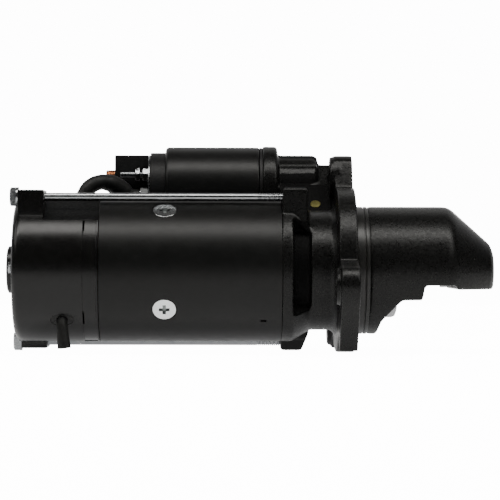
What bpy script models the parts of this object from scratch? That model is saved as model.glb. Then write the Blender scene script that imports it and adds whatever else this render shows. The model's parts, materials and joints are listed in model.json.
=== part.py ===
"""Starter motor: wound-field motor, over-running drive, solenoid and shift lever, lying as photographed.

Metres in Blender, millimetres in the sizes below. The shaft lies along X with its nose at +X, Z is up,
and the origin is on the shaft axis in the plane of the mounting flange. A lean is an angle in degrees
about the shaft, from straight up towards -Y.
"""
from math import asin, atan2, cos, degrees, hypot, pi, radians, sin

import bmesh
import bpy
from mathutils import Matrix, Vector

MM = 0.001
SEAT = 0.35
RUN = 0.45
LARGE = 36
MIDDLE = 24
SMALL = 14

# Mounting flange and nose
FLANGE_THICK = 14.4
FLANGE_BACK_SLOPE = 4.4
FLANGE_RADIUS = 66.0
FLANGE_BOTTOM = 65.0
FLANGE_CORNER = 58.0
BOLT_CIRCLE = 79.7
EAR_LEANS = (-21.6, 98.4, -127.0)
EAR_RADII = (16.2, 18.0, 17.0)
FLANGE_HOLE = 6.5
BOSS_RADIUS = 14.0
BOSS_HEIGHT = 5.0
PILOT_RADIUS = 50.8
PILOT_LENGTH = 6.5
NOSE_RADIUS = 50.4
NOSE_BORE = 43.5
NOSE_SHOULDER = 73.3
NOSE_LENGTH = 111.0
NOSE_TIP_RADIUS = 19.0
NOSE_BOSS_START = 79.0

# Drive end housing behind the flange
NECK_RADIUS = 47.6
NECK_BORE = 38.6
NECK_LENGTH = 16.4
RECESS_LENGTH = 14.3
RECESS_FLOOR = 42.2
RING_LENGTH = 9.2
LEVER_BOX_HALF = 25.5
LEVER_ROOM_HALF = 21.3
LEVER_PASSAGE_HALF = 14.0

# Yoke, cover band, end cover and through bolts
YOKE_RADIUS = 56.7
YOKE_WALL = 5.7
YOKE_LENGTH = 142.2
BAND_LENGTH = 11.5
BAND_WALL = 9.5
COVER_STEP = 0.7
COVER_LENGTH = 55.4
COVER_CORNER = 7.0
COVER_WALL = 5.5
CAP_RADIUS = 18.8
CAP_HEIGHT = 6.4
CAP_SCREW_OFFSET = 24.5
BOLT_STANDOFF = 4.0
BOLT_LEAN = 18.4
BOLT_RADIUS = 3.2
BOLT_HEAD_FLATS = 13.0
BOLT_HEAD_HEIGHT = 5.3
WASHER_RADIUS = 7.6
WASHER_THICK = 1.6
FLAT_DEPTH = 5.4
FLAT_HALF = 40.0
EAR_LENGTH = 20.5
EAR_INSET = 3.9
EAR_TOP = 6.2
EAR_DEPTH = 27.6
EAR_FRONT_SIDE = 18.8
EAR_BACK_SIDE = 16.0
LUG_LENGTH = 19.5
LUG_FRONT_SIDE = 15.8
LUG_BACK_SIDE = 12.0

# Poles, armature and brushes
POLE_STATION = -150.0
POLE_LENGTH = 76.0
POLE_LEANS = (33.0, 123.0, -147.0, -57.0)
POLE_HEIGHT = 12.5
POLE_SHOE_THICK = 3.6
POLE_BODY_HALF = 15.0
POLE_SHOE_HALF_ANGLE = 36.0
POLE_SCREW_HEAD = 9.2
POLE_SCREW_RADIUS = 5.0
COIL_OVERHANG = 10.0
AIR_GAP = 0.7
CORE_LENGTH = 72.0
CORE_SLOTS = 19
SLOT_WIDTH = 4.6
SLOT_FLOOR = 24.0
WINDING_END = 14.0
COMMUTATOR_RADIUS = 23.0
COMMUTATOR_LENGTH = 30.0
BRUSH_WIDTH = 10.0
BRUSH_LENGTH = 18.0
BRUSH_SPRING_ROOM = 7.2
BRUSH_LEANS = (45.0, 135.0, 225.0, 315.0)
BRUSH_PLATE_THICK = 2.8

# Armature shaft and bearings
SHAFT_REAR = 8.0
SHAFT_SEAT = 11.5
SHAFT_CORE = 14.0
SHAFT_CENTRE = 13.5
SPLINE_ROOT = 11.2
SPLINE_TIP = 13.0
SPLINE_HALF = 1.8
SPLINE_COUNT = 10
SHAFT_FRONT = 9.5
SHAFT_NOSE = 8.5
BUSH_WALL = 2.8
CENTRE_PLATE_THICK = 5.4

# Drive: clutch, pinion and stop ring
GROOVE_STATION = -37.5
GROOVE_WIDTH = 12.6
GROOVE_RADIUS = 16.4
COLLAR_RADIUS = 22.0
COLLAR_THICK = 2.5
CLUTCH_RADIUS = 37.5
CLUTCH_START = -8.0
CLUTCH_END = 33.5
PINION_TEETH = 11
PINION_MODULE = 3.0
PINION_LENGTH = 18.0
PINION_HUB = 15.4
DRIVE_TRAVEL = 15.8
STOP_RING_RADIUS = 13.5
STOP_RING_LENGTH = 5.0

# Solenoid and its terminals
SOLENOID_LEAN = -45.8
SOLENOID_GAP = 2.1
CAN_RADIUS = 35.2
CAN_WALL = 3.4
CAN_FRONT = -74.0
CAN_LENGTH = 75.8
GASKET_THICK = 2.3
SOLENOID_SEAT_RADIUS = 36.0
SOLENOID_SEAT_LENGTH = 11.7
HOOD_RADIUS = 28.7
HOOD_END = -26.0
HOOD_BORE = 23.5
CAP_BODY_RADIUS = 30.6
CAP_BODY_LENGTH = 13.8
CAP_BODY_WALL = 3.6
CONTACT_ROOM = 27.2
TERMINAL_PLATE_RADIUS = 28.5
TERMINAL_PLATE_THICK = 1.2
BATTERY_STUD = (15.2, 11.8)
MOTOR_STUD = (-14.4, -5.5)
TRIGGER_STUD = (-2.8, 12.5)
BATTERY_STUD_RADIUS = 5.0
MOTOR_STUD_RADIUS = 4.0
TRIGGER_STUD_RADIUS = 3.0
BATTERY_STUD_OUT = 36.0
MOTOR_STUD_OUT = 19.0
TRIGGER_STUD_OUT = 23.4
STUD_HEAD_EXTRA = 2.0
STUD_HEAD_THICK = 2.4
TERMINAL_COVER = (28.0, 25.0, 29.4)
TERMINAL_COVER_DROP = 12.4
TERMINAL_COVER_WALL = 2.2
PLUNGER_RADIUS = 16.5
PLUNGER_STROKE = 13.2
PLUNGER_REAR = -122.0
SPRING_RADIUS = 19.6
SPRING_WIRE = 1.0
SPRING_COLLAR = 22.2
CONTACT_RADIUS = 18.0
CONTACT_TRAVEL = 2.6

# Shift lever
PIVOT_STATION = -29.6
PIVOT_OFFSET = 50.0
PIVOT_RADIUS = 4.5
LEVER_BOSS = 8.0
LEVER_TOP_LEAN = 9.0
LEVER_BALL = 3.6
PRONG_INNER = 17.0
PRONG_OUTER = 20.5

# Rubber pieces and the motor lead
LEAD_RADIUS = 5.2
GROMMET_STATION = -223.0
GROMMET_LEAN = -32.0
GROMMET_WALL = 2.3
DRAIN_STATION = -227.0
DRAIN_LEAN = 132.8
DRAIN_RADIUS = 4.7

# Stations along the shaft that follow from the lengths above
NECK_FRONT = -(FLANGE_THICK + FLANGE_BACK_SLOPE)
NECK_REAR = NECK_FRONT - NECK_LENGTH
RING_FRONT = NECK_REAR - RECESS_LENGTH
HOUSING_REAR = RING_FRONT - RING_LENGTH
YOKE_FRONT = HOUSING_REAR - SEAT
YOKE_REAR = YOKE_FRONT - YOKE_LENGTH
BAND_FRONT = YOKE_REAR - SEAT
BAND_REAR = BAND_FRONT - BAND_LENGTH
COVER_FRONT = BAND_REAR - SEAT
COVER_END = COVER_FRONT - COVER_LENGTH
COVER_INSIDE = COVER_END + COVER_WALL
EAR_REAR = COVER_END + EAR_INSET
EAR_FRONT = EAR_REAR + EAR_LENGTH
LUG_REAR = HOUSING_REAR + 1.2
LUG_FRONT = LUG_REAR + LUG_LENGTH
YOKE_BORE = YOKE_RADIUS - YOKE_WALL
BAND_BORE = YOKE_RADIUS - BAND_WALL
COVER_RADIUS = YOKE_RADIUS + COVER_STEP
BOLT_OFFSET = YOKE_RADIUS + BOLT_STANDOFF
FLAT_OFFSET = YOKE_RADIUS - FLAT_DEPTH
SOLENOID_OFFSET = YOKE_RADIUS + SOLENOID_GAP + CAN_RADIUS
POLE_FACE = YOKE_BORE - POLE_HEIGHT
CORE_RADIUS = POLE_FACE - AIR_GAP
CORE_REAR = POLE_STATION - CORE_LENGTH / 2
CORE_FRONT = POLE_STATION + CORE_LENGTH / 2
BRUSH_PLATE_FRONT = BAND_FRONT - 1.6
BRUSH_PLATE_REAR = BRUSH_PLATE_FRONT - BRUSH_PLATE_THICK
COMMUTATOR_FRONT = BRUSH_PLATE_REAR - 0.6
COMMUTATOR_REAR = COMMUTATOR_FRONT - COMMUTATOR_LENGTH
BRUSH_FRONT = COMMUTATOR_FRONT - 4.0
BRUSH_REAR = BRUSH_FRONT - BRUSH_LENGTH
REAR_JOURNAL_FRONT = COMMUTATOR_REAR - 3.0
CENTRE_PLATE_FRONT = HOUSING_REAR - SEAT
CENTRE_PLATE_REAR = CENTRE_PLATE_FRONT - CENTRE_PLATE_THICK
PINION_START = CLUTCH_END + SEAT
PINION_END = PINION_START + PINION_LENGTH
PINION_TIP = PINION_MODULE * (PINION_TEETH / 2 + 1)
STOP_RING_START = PINION_END + DRIVE_TRAVEL + 1.5
NOSE_JOURNAL = NOSE_BOSS_START + 5.0
SHAFT_END = NOSE_LENGTH - 5.0
CAN_REAR = CAN_FRONT - CAN_LENGTH
SOLENOID_SEAT_REAR = CAN_FRONT + GASKET_THICK
SOLENOID_SEAT_FRONT = SOLENOID_SEAT_REAR + SOLENOID_SEAT_LENGTH
CAP_BODY_END = CAN_REAR - CAP_BODY_LENGTH
TERMINAL_PLATE_END = CAP_BODY_END - SEAT - TERMINAL_PLATE_THICK
LEVER_UPPER = SOLENOID_OFFSET - PIVOT_OFFSET
LEVER_REST_LEAN = degrees(asin((PIVOT_STATION - GROOVE_STATION) / PIVOT_OFFSET))
LEVER_TOP_STATION = PIVOT_STATION - LEVER_UPPER * sin(radians(LEVER_TOP_LEAN))
HOOK_HALF = LEVER_BALL + 0.7
HOOK_FRONT = LEVER_TOP_STATION + HOOK_HALF + 2.2
HOOK_REAR = LEVER_TOP_STATION - HOOK_HALF - 3.4
COLLAR_STATION = HOOK_REAR - 2.6

HERE = Matrix.Identity(4)
OUTWARD = Matrix.Rotation(-pi / 2, 4, "Y")
ACROSS = Matrix.Rotation(pi / 2, 4, "Z")


def at(x=0.0, y=0.0, z=0.0):
    """Place shifted by millimetres."""
    return Matrix.Translation(Vector((x, y, z)) * MM)


def leaned(lean, offset=0.0, x=0.0):
    """Place turned about the shaft so that local Z points along the lean, offset out along it."""
    return Matrix.Rotation(radians(lean), 4, "X") @ at(x, 0.0, offset)


SOLENOID = leaned(SOLENOID_LEAN, SOLENOID_OFFSET)


def terminal(stud):
    """Place on a terminal stud's axis, from its offset to the solenoid axis."""
    centre = SOLENOID.translation / MM
    return at(0.0, centre.y + stud[0], centre.z + stud[1])


def finish_mesh(name, mesh_data, material, place):
    """Turn bmesh data into a named object; without a material it is a hidden tool for a Boolean."""
    bmesh.ops.recalc_face_normals(mesh_data, faces=mesh_data.faces[:])
    mesh = bpy.data.meshes.new(name)
    mesh_data.to_mesh(mesh)
    mesh_data.free()
    mesh.shade_smooth()
    mesh.set_sharp_from_angle(angle=radians(32))
    piece = bpy.data.objects.new(name, mesh)
    bpy.context.scene.collection.objects.link(piece)
    piece.rotation_mode = "QUATERNION"
    piece.matrix_world = place
    if material is None:
        piece.hide_render = True
        piece.display_type = "WIRE"
    else:
        mesh.materials.append(material)
    return piece


def turned(name, profile, material=None, sides=MIDDLE, place=HERE):
    """Body of revolution about local X from a closed profile of (x, radius) points."""
    mesh_data = bmesh.new()
    points = [mesh_data.verts.new((x * MM, 0.0, radius * MM)) for x, radius in profile]
    for first, second in zip(points, points[1:] + points[:1]):
        if first.co.z > 0.0 or second.co.z > 0.0:
            mesh_data.edges.new((first, second))
    geometry = mesh_data.verts[:] + mesh_data.edges[:]
    bmesh.ops.spin(mesh_data, geom=geometry, axis=(1, 0, 0), cent=(0, 0, 0), angle=2 * pi, steps=sides,
                   use_merge=True)
    bmesh.ops.remove_doubles(mesh_data, verts=mesh_data.verts[:], dist=1e-7)
    return finish_mesh(name, mesh_data, material, place)


def prism(name, outline, low, high, material=None, along="X", place=HERE):
    """Outline pushed from low to high along one axis; its points are the other two axes in order."""
    mesh_data = bmesh.new()
    order = {"X": lambda a, b: (low, a, b), "Y": lambda a, b: (a, low, b), "Z": lambda a, b: (a, b, low)}[along]
    step = {"X": (1, 0, 0), "Y": (0, 1, 0), "Z": (0, 0, 1)}[along]
    face = mesh_data.faces.new([mesh_data.verts.new(Vector(order(a, b)) * MM) for a, b in outline])
    pushed = bmesh.ops.extrude_face_region(mesh_data, geom=[face])
    moved = [item for item in pushed["geom"] if isinstance(item, bmesh.types.BMVert)]
    bmesh.ops.translate(mesh_data, verts=moved, vec=Vector(step) * (high - low) * MM)
    return finish_mesh(name, mesh_data, material, place)


def block(name, low, high, material=None, place=HERE):
    """Box between two corners."""
    outline = [(low[1], low[2]), (high[1], low[2]), (high[1], high[2]), (low[1], high[2])]
    return prism(name, outline, low[0], high[0], material, "X", place)


def swept(name, path, radius, material=None, sides=10, steps=4):
    """Round bar along a smooth path of points."""
    curve = bpy.data.curves.new(name, "CURVE")
    curve.dimensions = "3D"
    curve.bevel_depth = radius * MM
    curve.bevel_resolution = (sides - 4) // 2
    curve.use_fill_caps = True
    curve.resolution_u = steps
    spline = curve.splines.new("BEZIER")
    spline.bezier_points.add(len(path) - 1)
    for knot, point in zip(spline.bezier_points, path):
        knot.co = Vector(point) * MM
        knot.handle_left_type = "AUTO"
        knot.handle_right_type = "AUTO"
    guide = bpy.data.objects.new(name + " path", curve)
    bpy.context.scene.collection.objects.link(guide)
    mesh_data = bmesh.new()
    mesh_data.from_mesh(guide.to_mesh())
    bmesh.ops.remove_doubles(mesh_data, verts=mesh_data.verts[:], dist=1e-6)
    guide.to_mesh_clear()
    bpy.data.objects.remove(guide)
    return finish_mesh(name, mesh_data, material, HERE)


def coil(name, radius, wire, low, high, turns, material, place=HERE):
    """Helical spring along local X between two stations."""
    path_steps = 8 * turns
    rise = (high - low - 2 * wire) / path_steps
    mesh_data = bmesh.new()
    corners = [(cos(k * pi / 2) * wire, sin(k * pi / 2) * wire) for k in range(4)]
    ring = [mesh_data.verts.new(((low + wire + a) * MM, 0.0, (radius + b) * MM)) for a, b in corners]
    edges = [mesh_data.edges.new((ring[k], ring[(k + 1) % 4])) for k in range(4)]
    mesh_data.faces.new(ring)
    bmesh.ops.spin(mesh_data, geom=ring + edges, axis=(1, 0, 0), cent=(0, 0, 0), angle=2 * pi * turns,
                   steps=path_steps, dvec=(rise * MM, 0, 0))
    mesh_data.verts.ensure_lookup_table()
    mesh_data.faces.new(mesh_data.verts[-4:])
    return finish_mesh(name, mesh_data, material, place)


def combine(operation, target, tools):
    """Add one exact Boolean to the target for each tool."""
    for tool in tools:
        modifier = target.modifiers.new(tool.name, "BOOLEAN")
        modifier.operation = operation
        modifier.solver = "EXACT"
        modifier.object = tool
    return target


def weld(target):
    """Close the hair-thin slits that a long row of Booleans leaves."""
    modifier = target.modifiers.new("weld", "WELD")
    modifier.merge_threshold = 0.00002
    return target


def cut(target, *tools):
    return combine("DIFFERENCE", target, tools)


def join(target, *tools):
    return combine("UNION", target, tools)


def rod(low, high, radius):
    """Profile of a plain round bar."""
    return [(low, 0.0), (low, radius), (high, radius), (high, 0.0)]


def tube(low, high, inner, outer):
    """Profile of a plain sleeve."""
    return [(low, inner), (low, outer), (high, outer), (high, inner)]


def arc(centre, radius, start, end, count):
    """Points on a circle from one angle to another in degrees."""
    angles = [radians(start + (end - start) * k / (count - 1)) for k in range(count)]
    return [(centre[0] + radius * cos(a), centre[1] + radius * sin(a)) for a in angles]


def hexagon(flats, turn=0.0):
    """Six-sided outline from its width across flats."""
    return arc((0.0, 0.0), flats / 2 / cos(pi / 6), turn, turn + 300.0, 6)


def ribbed(root, tip, half, count):
    """Round outline with straight-sided ribs, for the splines and their slots."""
    points = []
    for k in range(count):
        middle = 2 * pi * k / count
        for radius, side in ((root, -1), (tip, -1), (tip, 1), (root, 1)):
            angle = middle + side * asin(half / radius)
            points.append((radius * cos(angle), radius * sin(angle)))
    return points


def gear(teeth, module):
    """Spur pinion outline with tapered teeth."""
    pitch = 360.0 / teeth
    radius = module * teeth / 2
    corners = ((-0.46, radius - 1.15 * module), (-0.27, radius), (-0.11, radius + module))
    points = []
    for k in range(teeth):
        for share, level in corners + tuple((-s, r) for s, r in reversed(corners)):
            angle = radians(pitch * (k + share))
            points.append((level * cos(angle), level * sin(angle)))
    return points


def paint(name, colour, metal, rough):
    """Principled material with a plain colour."""
    material = bpy.data.materials.new(name)
    material.use_nodes = True
    shader = material.node_tree.nodes["Principled BSDF"]
    shader.inputs["Base Color"].default_value = (*colour, 1.0)
    shader.inputs["Metallic"].default_value = metal
    shader.inputs["Roughness"].default_value = rough
    return material


for left_over in list(bpy.data.objects):
    bpy.data.objects.remove(left_over)

cast_black = paint("black cast iron", (0.02, 0.02, 0.02), 0.0, 0.5)
satin_black = paint("black painted steel", (0.015, 0.015, 0.015), 0.0, 0.35)
gloss_black = paint("black painted aluminium", (0.012, 0.012, 0.012), 0.0, 0.25)
plastic_black = paint("black moulded plastic", (0.015, 0.015, 0.015), 0.0, 0.5)
rubber_black = paint("black rubber", (0.02, 0.02, 0.02), 0.0, 0.7)
zinc = paint("zinc plated steel", (0.62, 0.63, 0.62), 1.0, 0.35)
yellow_zinc = paint("yellow zinc plated steel", (0.55, 0.5, 0.22), 1.0, 0.4)
steel = paint("machined steel", (0.45, 0.45, 0.46), 1.0, 0.35)
laminated = paint("laminated core steel", (0.3, 0.3, 0.31), 1.0, 0.5)
copper = paint("copper", (0.72, 0.38, 0.24), 1.0, 0.35)
carbon = paint("brush carbon", (0.06, 0.06, 0.06), 0.0, 0.6)
bronze = paint("sintered bronze", (0.55, 0.38, 0.2), 1.0, 0.5)
varnish = paint("varnished coil", (0.3, 0.1, 0.04), 0.0, 0.45)


# Drive end housing: one casting from the yoke seat to the nose
def flange_outline():
    """Flange plate outline: the furthest reach of disc, ears and the straight lower front edge."""
    ears = []
    for lean, radius in zip(EAR_LEANS, EAR_RADII):
        angle = radians(90.0 + lean)
        ears.append((BOLT_CIRCLE * cos(angle), BOLT_CIRCLE * sin(angle), angle, radius))
    front = ears[1]
    corner = (-FLANGE_CORNER, -FLANGE_BOTTOM)
    reach = hypot(front[0] - corner[0], front[1] - corner[1])
    tangent = atan2(front[1] - corner[1], front[0] - corner[0]) + asin(front[3] / reach)
    normal = tangent + pi / 2
    edge = corner[0] * cos(normal) + corner[1] * sin(normal)
    start = atan2(front[1] + front[3] * sin(normal), front[0] + front[3] * cos(normal))
    span = (atan2(corner[1], corner[0]) - start) % (2 * pi)
    points = []
    for k in range(120):
        angle = 2 * pi * k / 120
        far = FLANGE_RADIUS
        for y, z, lean, radius in ears:
            off = BOLT_CIRCLE * sin(angle - lean)
            along = BOLT_CIRCLE * cos(angle - lean)
            if along > 0.0 and abs(off) < radius:
                far = max(far, along + (radius ** 2 - off ** 2) ** 0.5)
        facing = cos(angle - normal)
        if (angle - start) % (2 * pi) < span and facing > 0.2:
            far = max(far, edge / facing)
        if sin(angle) < -0.2:
            far = min(far, FLANGE_BOTTOM / -sin(angle))
        points.append((far * cos(angle), far * sin(angle)))
    return points


slope_run = NOSE_LENGTH - 0.6 - NOSE_SHOULDER
housing = turned("drive_end_housing", [
    (HOUSING_REAR, 0.0), (HOUSING_REAR, YOKE_RADIUS - 0.5), (HOUSING_REAR + 0.5, YOKE_RADIUS),
    (RING_FRONT, YOKE_RADIUS), (NECK_REAR, NECK_RADIUS), (NECK_FRONT, NECK_RADIUS),
    (-FLANGE_THICK, NECK_RADIUS + FLANGE_BACK_SLOPE), (-FLANGE_THICK / 2, NECK_RADIUS + FLANGE_BACK_SLOPE),
    (-FLANGE_THICK / 2, PILOT_RADIUS),
    (PILOT_LENGTH - 0.6, PILOT_RADIUS), (PILOT_LENGTH, PILOT_RADIUS - 0.6), (PILOT_LENGTH, NOSE_RADIUS - 0.9),
    (PILOT_LENGTH + 1.0, NOSE_RADIUS - 0.9), (PILOT_LENGTH + 1.0, NOSE_RADIUS + 0.2),
    (PILOT_LENGTH + 3.3, NOSE_RADIUS + 0.2), (PILOT_LENGTH + 3.3, NOSE_RADIUS - 0.8),
    (PILOT_LENGTH + 4.5, NOSE_RADIUS), (NOSE_SHOULDER - 3.5, NOSE_RADIUS),
    (NOSE_SHOULDER + 0.6, NOSE_RADIUS - 1.0), (NOSE_SHOULDER + 3.6, NOSE_RADIUS - 3.6),
    (NOSE_LENGTH - 2.4, NOSE_TIP_RADIUS + 2.0), (NOSE_LENGTH, NOSE_TIP_RADIUS - 1.6), (NOSE_LENGTH, 0.0),
], cast_black, LARGE)

recess_arc = arc((0.0, 0.0), YOKE_RADIUS + 9.3, 133.0, 219.0, 12) + arc((0.0, 0.0), RECESS_FLOOR, 219.0, 133.0, 12)
cut(housing, prism("side recess", recess_arc, RING_FRONT + 0.3, NECK_REAR - 0.4))
join(housing, prism("flange plate", flange_outline(), -FLANGE_THICK, 0.0))
for number, lean in enumerate(EAR_LEANS, 1):
    boss = rod(-FLANGE_THICK - BOSS_HEIGHT, -FLANGE_THICK + 2.0, BOSS_RADIUS)
    join(housing, turned(f"flange boss {number}", boss, sides=SMALL, place=leaned(lean, BOLT_CIRCLE)))
bolt_y = -BOLT_OFFSET * sin(radians(BOLT_LEAN))
bolt_z = BOLT_OFFSET * cos(radians(BOLT_LEAN))
for number, turn in enumerate((0.0, 180.0), 1):
    lug_side = [(LUG_REAR, NECK_RADIUS - 9.6), (LUG_REAR, bolt_z + EAR_TOP + 1.0),
                (LUG_FRONT, bolt_z + EAR_TOP + 1.0), (NECK_REAR - 1.2, NECK_RADIUS - 20.6),
                (RING_FRONT + 1.0, NECK_RADIUS - 6.6)]
    join(housing, prism(f"bolt lug {number}", lug_side, bolt_y - LUG_FRONT_SIDE, bolt_y + LUG_BACK_SIDE, along="Y",
                        place=leaned(turn)))
join(housing,
     turned("solenoid seat", [
         (SOLENOID_SEAT_REAR, 0.0), (SOLENOID_SEAT_REAR, SOLENOID_SEAT_RADIUS),
         (SOLENOID_SEAT_FRONT - 3.5, SOLENOID_SEAT_RADIUS), (SOLENOID_SEAT_FRONT, SOLENOID_SEAT_RADIUS - 4.0),
         (SOLENOID_SEAT_FRONT + 0.5, HOOD_RADIUS), (HOOD_END - 4.0, HOOD_RADIUS),
         (HOOD_END - 1.0, HOOD_RADIUS - 1.2), (HOOD_END, HOOD_RADIUS - 4.0), (HOOD_END, 0.0)],
         sides=MIDDLE, place=SOLENOID),
     block("lever box", (HOUSING_REAR + 0.8, -LEVER_BOX_HALF, PIVOT_OFFSET - 20.0),
           (NECK_FRONT + 2.0, LEVER_BOX_HALF, SOLENOID_OFFSET - 20.0), place=leaned(SOLENOID_LEAN)),
     block("hood web", (HOOD_END - 6.0, -19.0, PIVOT_OFFSET - 6.0),
           (-FLANGE_THICK + 2.0, 19.0, SOLENOID_OFFSET + 6.5), place=leaned(SOLENOID_LEAN)))

nose_slope = (NOSE_RADIUS - NOSE_TIP_RADIUS) / slope_run
boss_room = NOSE_RADIUS - (NOSE_BOSS_START - NOSE_SHOULDER) * nose_slope - 7.5
room = turned("drive room", [
    (HOUSING_REAR - 1.0, 0.0), (HOUSING_REAR - 1.0, NECK_BORE), (-FLANGE_THICK, NECK_BORE),
    (-FLANGE_THICK + 4.0, NOSE_BORE), (NOSE_SHOULDER - 5.0, NOSE_BORE), (NOSE_BOSS_START, boss_room),
    (NOSE_BOSS_START, SHAFT_NOSE + RUN + BUSH_WALL + SEAT), (SHAFT_END + 1.5, SHAFT_NOSE + RUN + BUSH_WALL + SEAT),
    (SHAFT_END + 1.5, 0.0)], sides=LARGE)
join(room,
     block("lever room", (NECK_REAR - 17.0, -LEVER_ROOM_HALF, PIVOT_OFFSET - 28.0),
           (PIVOT_STATION + LEVER_BOSS + 0.8, LEVER_ROOM_HALF, PIVOT_OFFSET + 16.0), place=leaned(SOLENOID_LEAN)),
     block("lever passage", (NECK_REAR - 16.0, -LEVER_PASSAGE_HALF, PIVOT_OFFSET + 11.0),
           (PIVOT_STATION + 2.6, LEVER_PASSAGE_HALF, SOLENOID_OFFSET - 14.0), place=leaned(SOLENOID_LEAN)),
     turned("plunger room", rod(SOLENOID_SEAT_REAR - 1.0, HOOK_FRONT + 0.5, HOOD_BORE), sides=MIDDLE,
            place=SOLENOID))
cut(housing, room)
window = [(17.5, -NOSE_RADIUS - 19.6), (17.5, -PILOT_RADIUS), (18.5, -47.0), (20.5, -40.0), (26.0, -33.5),
          (31.5, -27.5), (36.0, -23.2), (51.5, -23.0), (53.5, -11.6), (77.7, -11.6), (79.0, -14.9), (NOSE_LENGTH + 5.0, -14.9),
          (NOSE_LENGTH + 5.0, -NOSE_RADIUS - 19.6)]
cut(housing,
    prism("gear window", window, -70.0, 70.0, along="Y"),
    turned("pivot hole", rod(-40.0, 40.0, PIVOT_RADIUS + SEAT), sides=SMALL,
           place=leaned(SOLENOID_LEAN, PIVOT_OFFSET, PIVOT_STATION) @ ACROSS))
for number, lean in enumerate(EAR_LEANS, 1):
    cut(housing, turned(f"flange hole {number}", rod(-FLANGE_THICK - BOSS_HEIGHT - 1.0, 1.0, FLANGE_HOLE),
                        sides=SMALL, place=leaned(lean, BOLT_CIRCLE)))
for number, turn in enumerate((0.0, 180.0), 1):
    lug_hole = rod(LUG_REAR - 2.0, LUG_FRONT + 2.0, BOLT_RADIUS + SEAT)
    cut(housing, turned(f"lug hole {number}", lug_hole, sides=SMALL, place=leaned(BOLT_LEAN + turn, BOLT_OFFSET)))

weld(housing)

turned("nose_bush", tube(NOSE_JOURNAL, SHAFT_END, SHAFT_NOSE + RUN, SHAFT_NOSE + RUN + BUSH_WALL), bronze, SMALL)
centre_bore = SHAFT_CENTRE + RUN
turned("centre_bearing_plate", [
    (CENTRE_PLATE_REAR - 8.0, centre_bore + BUSH_WALL + SEAT), (CENTRE_PLATE_REAR - 8.0, centre_bore + 8.0),
    (CENTRE_PLATE_REAR, centre_bore + 10.0), (CENTRE_PLATE_REAR, YOKE_BORE - SEAT),
    (CENTRE_PLATE_FRONT, YOKE_BORE - SEAT), (CENTRE_PLATE_FRONT, centre_bore + BUSH_WALL + SEAT)],
    cast_black, LARGE)
turned("centre_bush", tube(CENTRE_PLATE_REAR - 8.0, CENTRE_PLATE_FRONT, centre_bore, centre_bore + BUSH_WALL),
       bronze, MIDDLE)


# Yoke with its pole screws, pole shoes and field winding
yoke = turned("yoke", [
    (YOKE_REAR, YOKE_BORE), (YOKE_REAR, YOKE_RADIUS - 0.4), (YOKE_REAR + 0.4, YOKE_RADIUS),
    (YOKE_FRONT - 0.4, YOKE_RADIUS), (YOKE_FRONT, YOKE_RADIUS - 0.4), (YOKE_FRONT, YOKE_BORE)], satin_black, LARGE)
head_top = YOKE_RADIUS - 0.7
head_base = head_top - 0.6
sink = POLE_SCREW_HEAD - POLE_SCREW_RADIUS
cut(yoke, block("yoke slot", (-75.1, -1.1, YOKE_RADIUS - 2.2), (-70.1, 1.1, YOKE_RADIUS + 3.0),
                place=leaned(134.0)))
pole_back = YOKE_BORE - SEAT
pole_low = POLE_STATION - POLE_LENGTH / 2
pole_high = POLE_STATION + POLE_LENGTH / 2
shoe_top = POLE_FACE + POLE_SHOE_THICK
edge_angle = degrees(asin(POLE_BODY_HALF / pole_back))
root_angle = degrees(asin(POLE_BODY_HALF / shoe_top))
pole_outline = (arc((0.0, 0.0), POLE_FACE, 90.0 - POLE_SHOE_HALF_ANGLE, 90.0 + POLE_SHOE_HALF_ANGLE, 10)
                + arc((0.0, 0.0), shoe_top, 90.0 + POLE_SHOE_HALF_ANGLE, 90.0 + root_angle, 3)
                + arc((0.0, 0.0), pole_back, 90.0 + edge_angle, 90.0 - edge_angle, 6)
                + arc((0.0, 0.0), shoe_top, 90.0 - root_angle, 90.0 - POLE_SHOE_HALF_ANGLE, 3))
coil_low = pole_low - COIL_OVERHANG
coil_high = pole_high + COIL_OVERHANG
field = turned("field_winding", tube(coil_low, coil_high, shoe_top + 0.6, pole_back - 0.1), varnish, LARGE)
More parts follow.
